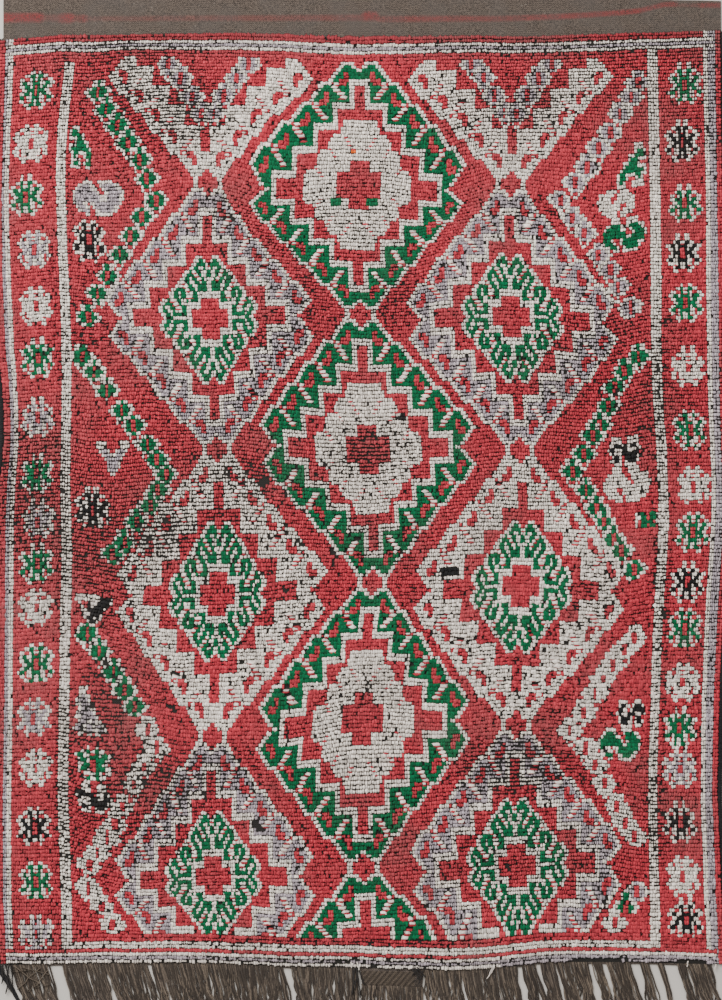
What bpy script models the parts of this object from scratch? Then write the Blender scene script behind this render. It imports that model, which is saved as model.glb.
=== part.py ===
"""Hand-knotted wool rug lying flat, with a flat-woven head end, overcast sides and a foot fringe.

Run it with: blender --background --python part.py
Units are metres and +Z is up. The head end lies at +Y, the fringe at -Y, the underside at Z = 0.
"""

import math

import bmesh
import bpy

# Driving dimensions
RUG_WIDTH = 1.710
RUG_LENGTH = 2.374
PILE_THICKNESS = 0.008
WEB_THICKNESS = 0.003
OVERCAST_WIDTH = 0.0117
OVERCAST_THICKNESS = 0.007
PIECE_GAP = 0.0003

# The knotted cloth between its head line and its foot line
HEAD_LINE = 1.086
FOOT_LINE = -1.047
HEAD_STEP = 0.004
END_REACH = 0.20
PILE_ROWS = 30
CLOTH_COLUMNS = 12
WEB_ROWS = 2
WEB_LENGTH = 0.1
WEB_SIDE_START = 0.002
ROW_CLEARANCE = 0.5
FLAT_TOLERANCE = 1e-7

# A shallow lengthwise fold that old storage left in the head end
CREASE_X = 0.0
CREASE_DEPTH = 0.0008
CREASE_HALF_WIDTH = 0.012
CREASE_FADE = 0.06

# The fringe and the strip of loops that carries it
STRIP_DEPTH = 0.005
STRIP_THICKNESS = 0.003
FRINGE_LEFT = -0.806
FRINGE_RIGHT = 0.806
LOCK_WIDTH = 0.0056
LOCK_PITCH = 0.0108
BUNCH_LOCKS = 4
BUNCH_DRAW = 0.24
LOCK_SWAY = 0.0011
SWAY_TURN = 5.0
TIP_SPREAD = 0.020
GOLDEN_TURN = 2.399963
WEB_REMNANT_LEFT = 0.001
WEB_REMNANT_RIGHT = 0.142
WEB_REMNANT_DEPTH = 0.040

# Side edges of the cloth: y, x of the left edge, x of the right edge
SIDE_EDGES = (
    (1.187, -0.824, 0.827),
    (1.088, -0.824, 0.827),
    (1.080, -0.831, 0.827),
    (0.943, -0.838, 0.829),
    (0.713, -0.843, 0.834),
    (0.483, -0.838, 0.834),
    (0.368, -0.836, 0.836),
    (0.253, -0.822, 0.838),
    (0.138, -0.824, 0.841),
    (0.023, -0.836, 0.843),
    (-0.092, -0.837, 0.841),
    (-0.207, -0.836, 0.832),
    (-0.437, -0.838, 0.822),
    (-0.667, -0.843, 0.818),
    (-0.782, -0.843, 0.825),
    (-0.897, -0.841, 0.829),
    (-1.047, -0.831, 0.834),
)

# End edges of the cloth across its width: x, y of the skirt's end, of the pile's head and of its foot
END_EDGES = (
    (-0.850, 1.187, 1.086, -1.046),
    (-0.600, 1.187, 1.090, -1.042),
    (-0.370, 1.186, 1.093, -1.042),
    (-0.100, 1.185, 1.086, -1.051),
    (0.020, 1.185, 1.083, -1.053),
    (0.200, 1.183, 1.088, -1.058),
    (0.330, 1.181, 1.090, -1.050),
    (0.430, 1.180, 1.091, -1.039),
    (0.640, 1.176, 1.095, -1.040),
    (0.750, 1.173, 1.102, -1.043),
    (0.850, 1.171, 1.104, -1.046),
)

# Worn places of the pile: x, y, reach and depth of the wear
WORN_PLACES = (
    (-0.590, -0.414, 0.14, 0.0018),
    (-0.440, -0.540, 0.11, 0.0018),
    (-0.223, 0.069, 0.07, 0.0015),
    (-0.175, -0.184, 0.07, 0.0015),
    (-0.237, -0.727, 0.08, 0.0015),
    (0.193, -0.140, 0.06, 0.0015),
    (0.750, -0.390, 0.12, 0.0012),
)

# Tails of the overcast edges past the foot: drop, sideways drift towards the middle, share of the width
LEFT_TAIL = (
    (0.007, 0.000, 1.00),
    (0.030, 0.016, 0.95),
    (0.058, 0.034, 0.80),
    (0.088, 0.050, 0.55),
)
RIGHT_TAIL = (
    (0.007, 0.000, 1.00),
    (0.018, 0.001, 0.60),
)

# How far the fringe leans towards +X for each metre that it hangs down: x, lean
FRINGE_LEAN = (
    (-0.810, 0.34),
    (-0.500, 0.28),
    (-0.200, 0.14),
    (-0.030, 0.02),
    (0.060, 0.06),
    (0.250, 0.14),
    (0.500, 0.28),
    (0.810, 0.30),
)

# Places where the fringe has lost its locks: from x, to x
BARE_PLACES = (
    (-0.718, -0.690),
    (-0.500, -0.480),
    (-0.182, -0.158),
    (-0.012, 0.004),
    (0.356, 0.368),
    (0.400, 0.414),
    (0.516, 0.534),
    (0.552, 0.562),
    (0.620, 0.636),
    (0.656, 0.682),
    (0.696, 0.724),
)

# A lock from its root to its tip: share of its length, of its width and of its thickness
LOCK_STATIONS = (
    (0.34, 0.92, 1.10),
    (0.70, 0.86, 1.00),
    (1.00, 0.60, 0.70),
)

# Cross-section of an overcast edge: place across it and share of its thickness
OVERCAST_SECTION = (
    (0.00, 0.60),
    (0.22, 0.92),
    (0.50, 1.00),
    (0.78, 0.92),
    (1.00, 0.55),
)


def clear_scene():
    """Remove every object that the file holds."""
    for item in list(bpy.data.objects):
        bpy.data.objects.remove(item, do_unlink=True)


def rug_collection(name):
    """A new collection under the scene's own."""
    collection = bpy.data.collections.new(name)
    bpy.context.scene.collection.children.link(collection)
    return collection


def wool(name, colour, roughness=0.9):
    """A plain Principled wool in one colour."""
    material = bpy.data.materials.new(name)
    material.use_nodes = True
    shader = material.node_tree.nodes["Principled BSDF"]
    shader.inputs["Base Color"].default_value = (*colour, 1.0)
    shader.inputs["Roughness"].default_value = roughness
    shader.inputs["Metallic"].default_value = 0.0
    material.diffuse_color = (*colour, 1.0)
    return material


def eased(table, at, column=1):
    """Read a column of a table between its rows, eased so that it never runs past them."""
    rows = sorted(table)
    if at <= rows[0][0]:
        return rows[0][column]
    for low, high in zip(rows, rows[1:]):
        if at <= high[0]:
            part = (at - low[0]) / (high[0] - low[0])
            part = part * part * (3.0 - 2.0 * part)
            return low[column] + (high[column] - low[column]) * part
    return rows[-1][column]


def straight(points, at):
    """Height of a polyline of (x, y) points at one x."""
    for low, high in zip(points, points[1:]):
        if at <= high[0]:
            part = (at - low[0]) / (high[0] - low[0])
            return low[1] + (high[1] - low[1]) * part
    return points[-1][1]


def crease(x):
    """Depth of the lengthwise fold at one x."""
    away = abs(x - CREASE_X) / CREASE_HALF_WIDTH
    return CREASE_DEPTH * max(0.0, 1.0 - away)


def wear(x, y):
    """Depth that use has taken off the pile."""
    depth = 0.0
    for worn_x, worn_y, reach, deepest in WORN_PLACES:
        away = math.hypot(x - worn_x, y - worn_y) / reach
        depth += deepest * math.exp(-away * away)
    return depth


def cloth_columns():
    """Places across the cloth, from 0 at its left edge to 1, with three lines for the fold."""
    places = [step / CLOTH_COLUMNS for step in range(CLOTH_COLUMNS + 1)]
    fold = CREASE_HALF_WIDTH / RUG_WIDTH
    places += [0.5 - fold, 0.5 + fold]
    return sorted(places)


def cloth_rows():
    """Rows from the head to the foot: nominal y, and whether the row is pile."""
    rows = [(1.0 - step / WEB_ROWS, False) for step in range(WEB_ROWS + 1)]
    lines = [y for y, _, _ in SIDE_EDGES if FOOT_LINE < y < HEAD_LINE - HEAD_STEP]
    pitch = (HEAD_LINE - FOOT_LINE) / PILE_ROWS
    for step in range(1, PILE_ROWS):
        y = HEAD_LINE - step * pitch
        if min(abs(y - line) for line in lines) > ROW_CLEARANCE * pitch:
            lines.append(y)
    lines += [HEAD_LINE - HEAD_STEP, FOOT_LINE]
    rows += [(y, True) for y in sorted(lines, reverse=True)]
    return rows


def cloth_point(across, row):
    """A point of the cloth's upper side."""
    nominal, is_pile = row
    if not is_pile:
        y_side = HEAD_LINE + WEB_SIDE_START + nominal * WEB_LENGTH
        left = eased(SIDE_EDGES, y_side, 1)
        right = eased(SIDE_EDGES, y_side, 2)
        x = left + (right - left) * across
        end = eased(END_EDGES, x, 1)
        head = eased(END_EDGES, x, 2)
        return x, head + (end - head) * nominal, WEB_THICKNESS - crease(x)
    left = eased(SIDE_EDGES, nominal, 1)
    right = eased(SIDE_EDGES, nominal, 2)
    x = left + (right - left) * across
    head_share = max(0.0, 1.0 - (HEAD_LINE - HEAD_STEP - nominal) / END_REACH)
    foot_share = max(0.0, 1.0 - (nominal - FOOT_LINE) / END_REACH)
    y = nominal
    y += (eased(END_EDGES, x, 2) - HEAD_LINE) * head_share
    y += (eased(END_EDGES, x, 3) - FOOT_LINE) * foot_share
    fade = max(0.0, 1.0 - (HEAD_LINE - nominal) / CREASE_FADE)
    return x, y, PILE_THICKNESS - wear(x, y) - crease(x) * fade


def grid_slab(places):
    """A closed slab on Z = 0 under a grid of upper points, given row by row."""
    row_count = len(places)
    column_count = len(places[0])
    mesh = bmesh.new()
    bmesh.ops.create_grid(mesh, x_segments=column_count - 1, y_segments=row_count - 1, size=0.5)
    upper = sorted(mesh.verts, key=lambda vert: (-round(vert.co.y, 5), vert.co.x))
    for index, vert in enumerate(upper):
        vert.co = places[index // column_count][index % column_count]
    upper_faces = list(mesh.faces)
    under = bmesh.ops.extrude_face_region(mesh, geom=upper_faces, use_keep_orig=True)
    for item in under["geom"]:
        if isinstance(item, bmesh.types.BMVert):
            item.co.z = 0.0
    bmesh.ops.recalc_face_normals(mesh, faces=mesh.faces)
    grid = [upper[row * column_count:(row + 1) * column_count] for row in range(row_count)]
    return mesh, grid


def plain_underside(mesh):
    """Join the faces of the flat underside."""
    under = [face for face in mesh.faces if max(vert.co.z for vert in face.verts) < FLAT_TOLERANCE]
    bmesh.ops.dissolve_faces(mesh, faces=under)


def finish_mesh(mesh, name, materials, collection):
    """Turn a bmesh into a named object with its materials."""
    data = bpy.data.meshes.new(name)
    mesh.to_mesh(data)
    mesh.free()
    for material in materials:
        data.materials.append(material)
    piece = bpy.data.objects.new(name, data)
    collection.objects.link(piece)
    return piece


def make_cloth(collection):
    """The knotted field and the flat-woven head end, which are woven on the same warps."""
    columns = cloth_columns()
    rows = cloth_rows()
    places = [[cloth_point(across, row) for across in columns] for row in rows]
    mesh, grid = grid_slab(places)
    pile = wool("madder_red_pile", (0.46, 0.045, 0.055))
    web = wool("grey_brown_web", (0.18, 0.16, 0.14))
    pile_head = {vert for vert in grid[WEB_ROWS]}
    skirt = {vert for line in grid[:WEB_ROWS] for vert in line} | pile_head
    for face in mesh.faces:
        if all(vert in skirt for vert in face.verts):
            face.material_index = 1
    plain_underside(mesh)
    return finish_mesh(mesh, "rug_cloth", (pile, web), collection)


def make_overcast_edge(name, across, outward, tail, collection):
    """Black overcasting along one side of the pile, with the loose tail that it ends in."""
    side = [cloth_point(across, row) for row in cloth_rows() if row[1]]
    lines = [(x, y, 1.0) for x, y, _ in side]
    foot_x, foot_y, _ = side[-1]
    for drop, drift, share in tail:
        lines.append((foot_x - outward * drift, foot_y - drop, share))
    places = []
    for x, y, share in lines:
        line = []
        narrowing = OVERCAST_WIDTH * (1.0 - share) / 2.0
        for place, height in OVERCAST_SECTION:
            reach = PIECE_GAP + narrowing + OVERCAST_WIDTH * share * place
            line.append((x + outward * reach, y, OVERCAST_THICKNESS * height * math.sqrt(share)))
        places.append(line)
    mesh, _ = grid_slab(places)
    plain_underside(mesh)
    black = wool("black_overcasting", (0.012, 0.011, 0.012))
    return finish_mesh(mesh, name, (black,), collection)


def root_depth(x):
    """Depth of the fringe's strip, which is wider where a piece of foot web is left."""
    if WEB_REMNANT_LEFT < x < WEB_REMNANT_RIGHT:
        return STRIP_DEPTH + WEB_REMNANT_DEPTH
    return STRIP_DEPTH


def lock_edges():
    """Every x at which a lock or the space beside it starts."""
    edges = []
    x = FRINGE_LEFT
    while x + LOCK_WIDTH <= FRINGE_RIGHT:
        edges += [x, x + LOCK_WIDTH]
        x += LOCK_PITCH
    return edges


def is_bare(x):
    """Whether the fringe has no lock here."""
    return any(low < x < high for low, high in BARE_PLACES)


def grow_lock(mesh, face, number):
    """Draw one lock out of a face of the strip, level on the floor."""
    root = sum(vert.co.x for vert in face.verts) / len(face.verts)
    root_y = sum(vert.co.y for vert in face.verts) / len(face.verts)
    shortfall = TIP_SPREAD * ((number * GOLDEN_TURN) % 1.0)
    length = root_y + RUG_LENGTH / 2.0 - shortfall
    lean = eased(FRINGE_LEAN, root)
    bunch = FRINGE_LEFT + (BUNCH_LOCKS * (number // BUNCH_LOCKS) + BUNCH_LOCKS / 2.0) * LOCK_PITCH
    draw = (bunch - root) * BUNCH_DRAW
    for share, width, thickness in LOCK_STATIONS:
        grown = bmesh.ops.extrude_discrete_faces(mesh, faces=[face])
        face = grown["faces"][0]
        sway = LOCK_SWAY * share * math.sin(number * GOLDEN_TURN + SWAY_TURN * share)
        middle = root + lean * length * share + draw * share + sway
        centre = sum(vert.co.x for vert in face.verts) / len(face.verts)
        sides = [1.0 if vert.co.x > centre else -1.0 for vert in face.verts]
        for vert, side in zip(face.verts, sides):
            vert.co.x = middle + side * LOCK_WIDTH * width / 2.0
            vert.co.y = root_y - length * share
            if vert.co.z > 0.0:
                vert.co.z = STRIP_THICKNESS * thickness


def make_fringe(collection):
    """The warp ends at the foot: a narrow strip of loops, a remnant of web and the locks."""
    columns = cloth_columns()
    foot = [cloth_point(across, cloth_rows()[-1])[:2] for across in columns]
    edges = lock_edges()
    upper = [(x, straight(foot, x) - PIECE_GAP, STRIP_THICKNESS) for x in edges]
    lower = [(x, y - root_depth(x), z) for x, y, z in upper]
    mesh, grid = grid_slab([upper, lower])
    for cell in range(0, len(edges) - 1, 2):
        middle = (edges[cell] + edges[cell + 1]) / 2.0
        level = root_depth(edges[cell]) == root_depth(edges[cell + 1])
        if is_bare(middle) or not level:
            continue
        root_edge = mesh.edges.get((grid[1][cell], grid[1][cell + 1]))
        face = min(root_edge.link_faces, key=lambda item: abs(item.normal.z))
        grow_lock(mesh, face, cell // 2)
    bmesh.ops.recalc_face_normals(mesh, faces=mesh.faces)
    yarn = wool("grey_brown_yarn", (0.15, 0.13, 0.11))
    return finish_mesh(mesh, "foot_fringe", (yarn,), collection)


def main():
    """Build the rug."""
    clear_scene()
    collection = rug_collection("hand_knotted_rug")
    make_cloth(collection)
    make_overcast_edge("overcast_left", 0.0, -1.0, LEFT_TAIL, collection)
    make_overcast_edge("overcast_right", 1.0, 1.0, RIGHT_TAIL, collection)
    make_fringe(collection)


main()
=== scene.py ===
"""Hand-knotted wool rug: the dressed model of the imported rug, with its pile, head web, edges and fringe.

It is laid out as an add-on and is run as a script. Units are metres and +Z is up.
The pile is knotted from a chart, row by row, in half knots across and whole rows along.
"""

import math

import bmesh
import bpy
import numpy as np
from bpy.props import FloatProperty, FloatVectorProperty, IntProperty, PointerProperty
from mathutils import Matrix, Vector


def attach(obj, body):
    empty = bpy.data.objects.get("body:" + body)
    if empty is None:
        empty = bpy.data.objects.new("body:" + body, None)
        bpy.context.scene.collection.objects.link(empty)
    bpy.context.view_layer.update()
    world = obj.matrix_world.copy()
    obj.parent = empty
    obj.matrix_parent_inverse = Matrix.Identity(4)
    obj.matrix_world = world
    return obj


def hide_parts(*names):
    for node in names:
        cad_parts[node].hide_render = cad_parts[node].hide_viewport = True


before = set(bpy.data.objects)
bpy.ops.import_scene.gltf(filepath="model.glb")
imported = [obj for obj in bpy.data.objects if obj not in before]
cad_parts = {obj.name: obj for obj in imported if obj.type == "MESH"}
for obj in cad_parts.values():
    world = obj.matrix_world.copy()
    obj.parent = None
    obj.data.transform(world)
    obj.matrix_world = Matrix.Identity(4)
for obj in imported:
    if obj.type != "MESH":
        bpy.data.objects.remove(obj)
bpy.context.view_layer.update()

bl_info = {
    "name": "Hand-knotted rug",
    "version": (1, 0, 0),
    "blender": (4, 5, 0),
    "location": "3D View > Sidebar > Rug",
    "description": "Builds a hand-knotted wool rug from its knot chart",
    "category": "Object",
}

# The photograph's scale and frame
METRES_PER_PIXEL = 0.0023
PIXEL_OF_X_ZERO = 361.45
PIXEL_OF_Y_ZERO = 510.0
PHOTO_PIXELS = (722.0, 1000.0)

# The cloth, as the part's source has it, and the ground under the pile
WEB_THICKNESS = 0.003
GROUND_THICKNESS = 0.0034
PILE_THICKNESS = 0.008
OVERCAST_WIDTH = 0.0117
OVERCAST_THICKNESS = 0.007
PIECE_GAP = 0.0003
HEAD_LINE = 1.086
FOOT_LINE = -1.047
HEAD_STEP = 0.004
END_REACH = 0.20
CREASE_DEPTH = 0.0008
CREASE_HALF_WIDTH = 0.012
CREASE_FADE = 0.06
RUG_LENGTH = 2.374

# Side edges of the cloth: y, x of the left edge, x of the right edge
SIDE_EDGES = (
    (1.187, -0.824, 0.827),
    (1.088, -0.824, 0.827),
    (1.080, -0.831, 0.827),
    (0.943, -0.838, 0.829),
    (0.713, -0.843, 0.834),
    (0.483, -0.838, 0.834),
    (0.368, -0.836, 0.836),
    (0.253, -0.822, 0.838),
    (0.138, -0.824, 0.841),
    (0.023, -0.836, 0.843),
    (-0.092, -0.837, 0.841),
    (-0.207, -0.836, 0.832),
    (-0.437, -0.838, 0.822),
    (-0.667, -0.843, 0.818),
    (-0.782, -0.843, 0.825),
    (-0.897, -0.841, 0.829),
    (-1.047, -0.831, 0.834),
)

# End edges of the cloth across its width: x, y of the web's end, of the pile's head and of its foot
END_EDGES = (
    (-0.850, 1.187, 1.086, -1.046),
    (-0.600, 1.187, 1.090, -1.042),
    (-0.370, 1.186, 1.093, -1.042),
    (-0.100, 1.185, 1.086, -1.051),
    (0.020, 1.185, 1.083, -1.053),
    (0.200, 1.183, 1.088, -1.058),
    (0.330, 1.181, 1.090, -1.050),
    (0.430, 1.180, 1.091, -1.039),
    (0.640, 1.176, 1.095, -1.040),
    (0.750, 1.173, 1.102, -1.043),
    (0.850, 1.171, 1.104, -1.046),
)

# Worn places of the pile: x, y, reach and depth of the wear
WORN_PLACES = (
    (-0.590, -0.414, 0.14, 0.0018),
    (-0.440, -0.540, 0.11, 0.0018),
    (-0.223, 0.069, 0.07, 0.0015),
    (-0.175, -0.184, 0.07, 0.0015),
    (-0.237, -0.727, 0.08, 0.0015),
    (0.193, -0.140, 0.06, 0.0015),
    (0.750, -0.390, 0.12, 0.0012),
)

# The knot chart: wools, size in half knots and rows
RED, IVORY, GREEN, LILAC, BLACK, ORANGE, BARE, RUNG, DASH = range(9)
WOOL_MARKS = {"r": RED, "w": IVORY, "g": GREEN, "l": LILAC, "k": BLACK, "o": ORANGE, "-": BARE,
              "f": RUNG, "d": DASH}
CHART_LEFT = -152
CHART_RIGHT = 149
CHART_ROWS = 248
REPEAT_ROWS = 72
TIP_TO_TIP = 68
MIDDLE_ROW = 34
SIDE_AXIS = 62
KNOT_PIXELS = 4.75
HALF_KNOT_PIXELS = 2.4
CHART_MIDDLE_PIXEL = 361.0
KNOT_SPREAD = (0.76, 1.24)
LEAST_PAIR_SHARE = 0.35
TUFT_ASIDE = 0.48
TUFT_SHARE = 0.56
ROW_WANDER = 0.0009
CENTRE_TIPS = (7, 79, 151, 223)
SIDE_TIPS = (-27, 45, 117, 189)

# Knot lattice: pixels down at which the guide lines are given, then half knot and pixels across of each
GUIDE_DOWNS = (38, 62, 94, 126, 158, 190, 222, 254, 286, 318, 350, 382, 414, 446, 483, 519, 556, 592,
    626, 660, 693, 727, 762, 798, 833, 868, 900, 932, 966)
GUIDE_LINES = (
    (-152, (0, -0.9, -1.7, -2.3, -2.8, -3.3, -3.8, -4.3, -4.8, -3.9, -2, 1.8, 3.9, 3.5, -0.1, -2, -2,
        -2, -2.3, -2.6, -2.9, -3.5, -4.2, -5, -5, -4.6, -4, -1.8, 0.5)),
    (-146, (8.5, 8.4, 7.3, 6.1, 5, 3.9, 4.3, 5.4, 6.5, 7.9, 9.5, 12.4, 14, 14, 11, 9.3, 8.9, 8.6, 8.4,
        8.2, 8, 7.6, 7.1, 6.5, 6.5, 6.5, 6.5, 8.1, 9)),
    (-122, (70, 70, 66.2, 62.5, 60.8, 60.5, 61.7, 62.8, 64.3, 65.4, 66, 66.4, 65.8, 65.2, 64.5, 65.5,
        66.3, 65.4, 64.5, 64, 63.6, 63.1, 62.6, 62, 63.3, 64.7, 66, 66.4, 66.5)),
    (-104, (112.8, 115.9, 111.3, 107.8, 105.8, 104.1, 105.5, 106.6, 107.7, 112.3, 115.5, 113.3, 113.4,
        115.2, 116, 117.2, 122.2, 123.7, 119.9, 118.7, 117.4, 115.5, 116.6, 119.6, 121.9, 120.3, 120.3,
        117.4, 115.6)),
    (-62, (210.4, 211.8, 208.5, 204.5, 206.2, 208.6, 207.2, 207.3, 209.5, 211, 212.6, 213.9, 214.8,
        216.8, 218.4, 219, 219.1, 218.3, 216.4, 215.1, 213.9, 212.3, 210.9, 210.9, 212.1, 213.4, 214.1,
        214.7, 214.9)),
    (-42, (255.8, 255.2, 253, 250.1, 253.4, 254.3, 252.3, 251.8, 252.7, 253.4, 254.9, 258.2, 263.2,
        266.8, 267.3, 266.6, 264.1, 260.2, 261, 264.1, 264, 262, 259.9, 257.9, 255.7, 256.4, 258.1,
        258.9, 261.4)),
    (-20, (308.4, 306.9, 308.4, 311, 309.6, 308.1, 306.4, 305.6, 306.5, 307.3, 310.5, 314.8, 317.7,
        320, 321.9, 324.8, 323.7, 321.4, 319.2, 319.6, 320.9, 317, 313.6, 312.8, 310.2, 307.3, 310.2,
        313.5, 316.4)),
    (0, (359.2, 359.2, 359.6, 360.5, 360.8, 359.6, 358.4, 357.7, 358.9, 360.9, 362.2, 363.4, 365.7,
        367.9, 370.1, 373.3, 373.9, 372.1, 367.9, 365.9, 364.2, 361, 361.3, 362.5, 363.2, 364.1, 365.5,
        366.3, 368.1)),
    (20, (411.4, 413.7, 412.3, 409.1, 407.3, 406, 406.2, 407.3, 409.7, 413, 414.6, 414.3, 415.4, 416.8,
        418.5, 420.7, 422.4, 421, 416, 412.3, 409.1, 408.9, 412.4, 412.1, 412.8, 416.6, 418.7, 418.6,
        418.5)),
    (42, (466.3, 469.1, 469.1, 467.4, 462.2, 458.2, 460.1, 464, 465.4, 465.6, 467.8, 470.6, 470.8, 470,
        473.2, 477.4, 477.3, 475.4, 471.1, 467, 465.6, 465.2, 465.4, 466.1, 468.4, 471.9, 474.5, 475.6,
        473.7)),
    (62, (510.5, 510.2, 511.3, 512.2, 512.4, 511.1, 509.1, 509.8, 510.2, 510.8, 513.2, 516.8, 519.2,
        520, 522.3, 523.5, 522, 520.1, 520, 517.3, 516, 516.4, 514.9, 514.1, 515.3, 516.9, 518.2,
        518.6, 518.4)),
    (104, (609.3, 607.4, 608.4, 610.2, 610.7, 611, 611.3, 610, 610.5, 610.9, 613.7, 617.3, 618.3,
        618.9, 619.3, 620.3, 621.5, 619.9, 617.8, 620.2, 621.2, 621, 620.2, 619.7, 617.7, 616.3, 615.4,
        614.7, 616.5)),
    (119, (653, 653.1, 653.9, 654.5, 655.2, 655.7, 656.2, 656.7, 657, 657, 657, 657.6, 659.3, 662.1,
        663.6, 664.8, 662.9, 660.5, 658.4, 656.7, 655.7, 654.4, 653, 652.8, 653.3, 654.2, 655.5, 655.9,
        656)),
    (143, (710, 710.3, 710.9, 711.6, 712.3, 713, 713.1, 713.3, 713.4, 713.8, 714.3, 714.9, 715.9, 717,
        718.4, 718, 716, 713.1, 711.5, 710.1, 708.8, 708.2, 707.9, 707.5, 709.1, 710.4, 711, 713.7,
        714)),
    (149, (720.5, 720.7, 721, 721.3, 721.6, 722, 722.7, 723.4, 724, 724.2, 724.3, 724.4, 724.9, 725.6,
        726.8, 728, 727.3, 724.8, 722.3, 720.8, 719.3, 718.4, 717.6, 717.3, 718.8, 720.3, 721.3, 722.5,
        724)),
)

# Rows of knots: pixels across at which they are given, then row and pixels down of each
ROW_ACROSS = (0, 40, 62, 90, 120, 150, 180, 213, 240, 265, 290, 320, 345, 361, 385, 415, 440, 463, 490,
    515, 545, 575, 605, 630, 650, 722)
ROW_LINES = (
    (0, (41.5, 38.5, 36.5, 36, 35.5, 35, 34.5, 34.5, 34.5, 35.3, 36.2, 37.2, 38, 38.5, 38.3, 38, 37.7,
        37.5, 37.5, 37.5, 37.4, 36.3, 35.2, 34.2, 33.5, 31)),
    (7, (64.7, 61.8, 59.9, 60.4, 57.8, 56.7, 57.4, 58.5, 58.4, 59.1, 60.3, 62, 63.1, 63.6, 63.3, 61.9,
        61.6, 61.6, 61.4, 61.3, 61.1, 60.3, 59.8, 58.7, 57, 54.6)),
    (25, (128.2, 125.4, 123.6, 124.3, 120.7, 115.7, 115.5, 116.8, 116.1, 117.2, 123.9, 124, 124.3, 125,
        125.9, 126.8, 125.7, 120.2, 119.3, 119.7, 118.8, 118.1, 120, 121.7, 121.2, 119)),
    (43, (191.7, 189, 187.4, 189.3, 188, 185.4, 181.4, 181.8, 188.9, 198.5, 198.1, 194, 192, 192.1,
        193.2, 197.4, 200.5, 193.5, 183.6, 182.6, 186.9, 190.1, 193, 190.7, 185.4, 183.4)),
    (61, (255.2, 252.6, 251.1, 253.9, 254.4, 253.3, 253.3, 253.5, 251.8, 252.8, 256.4, 258.1, 258.5,
        259.2, 259.3, 258.3, 250.6, 247.9, 249.4, 251.2, 252, 252.8, 255.4, 253.5, 249.6, 247.7)),
    (79, (318.6, 316.3, 314.9, 317.4, 318.1, 316.5, 317.3, 318.1, 317, 314.2, 314.7, 317.7, 319.9,
        320.9, 321.3, 319.8, 317.8, 316.3, 315.1, 315.2, 317, 321.1, 323.3, 317, 313.8, 312.1)),
    (97, (386, 383.8, 382.5, 383.4, 381.4, 380.9, 384, 386.6, 384.2, 381.5, 383.8, 386.6, 387.7, 388.3,
        388, 387.7, 387.4, 386.6, 384.9, 384.4, 386.3, 388.3, 388.7, 385.1, 381.9, 380.4)),
    (115, (453.3, 451.2, 450.2, 455.7, 455.3, 451.8, 449.9, 448.2, 447.9, 451.3, 454.3, 456.2, 456.9,
        457.2, 456.7, 455.3, 455, 454.4, 450.8, 449, 451.3, 453.7, 455.1, 453.4, 450, 448.6)),
    (133, (520.7, 518.7, 517.8, 522.3, 523.3, 521.2, 518.8, 518.5, 518.5, 518.6, 521.1, 522.9, 523.6,
        523.6, 521.8, 519.8, 518.4, 516.6, 516.1, 517.6, 518.9, 519.9, 519.9, 518.5, 518, 516.9)),
    (151, (588, 586.2, 585.4, 589.1, 595.1, 597.1, 596.2, 594.7, 594.3, 593.2, 589.6, 589, 589.4,
        589.7, 589.8, 590, 589.9, 588.7, 586.6, 585.5, 585.7, 589, 592.2, 589.4, 586.1, 585.1)),
    (169, (658, 656.3, 655.7, 653.4, 656.2, 664.1, 666.1, 663.5, 661.9, 661.4, 660.4, 659.2, 657.1,
        655.7, 655.1, 656, 657.3, 658, 656.3, 655, 657.1, 658.9, 657.1, 656.4, 656.8, 656)),
    (187, (727.9, 726.5, 726, 730.7, 730.2, 729.2, 735.3, 736.9, 737.4, 737.8, 736.3, 731.9, 726.3,
        725.5, 725.4, 728, 728.2, 727.4, 725.3, 724.3, 724.7, 727.3, 729.2, 729.2, 727.5, 726.9)),
    (205, (797.9, 796.6, 796.2, 808.1, 809.1, 808, 810.9, 809, 807, 806.4, 806.5, 806.8, 805.6, 805,
        803.6, 800.7, 797.7, 795.9, 795.9, 795.9, 793.5, 791.9, 793.3, 796.4, 798.2, 797.8)),
    (223, (867.9, 866.7, 866.5, 872.4, 879.8, 881.7, 879.2, 877.4, 876.4, 875.9, 876.3, 876.7, 876,
        876.1, 874.4, 872.4, 870.4, 868.7, 866.9, 865.8, 864, 862.1, 861.3, 866.7, 868.9, 868.7)),
    (235, (912.9, 911.8, 911.7, 915.2, 918.8, 918.3, 916.6, 915.7, 916.6, 919, 921.5, 923.5, 923.8,
        922.3, 919.6, 917.5, 916.2, 915, 912.6, 911.4, 912.2, 914, 915, 915.7, 914.5, 914.3)),
    (240, (937.3, 936.6, 936.3, 935.8, 935.6, 935.6, 935.6, 936.1, 937, 937.8, 938.6, 939.6, 940,
        940.3, 940.8, 941.7, 942.4, 941.7, 940, 938, 934.7, 934.5, 934.6, 934.7, 935.1, 937.1)),
    (247, (962.8, 962.1, 961.8, 961.3, 961.1, 961.1, 961.1, 961.6, 962.5, 963.3, 964.1, 965.1, 965.5,
        965.8, 966.3, 967.2, 967.9, 967.2, 965.5, 963.5, 960.2, 960, 960.1, 960.2, 960.6, 962.6)),
)

# A tooth of the stepped band: how far its edge stands from its tip, row by row, and the last return
TOOTH_PERIOD = 6
TOOTH_STEP = 8
FIRST_TIP = 5
LAST_TOOTH = 4
TOOTH_SLOPE = (0, 2, 3, 4, 5, 6)
TOOTH_RETURN = (5, 4, 3, 2, 0)
FIRST_STAIR = 12
STAIR_REACH = 11

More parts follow.
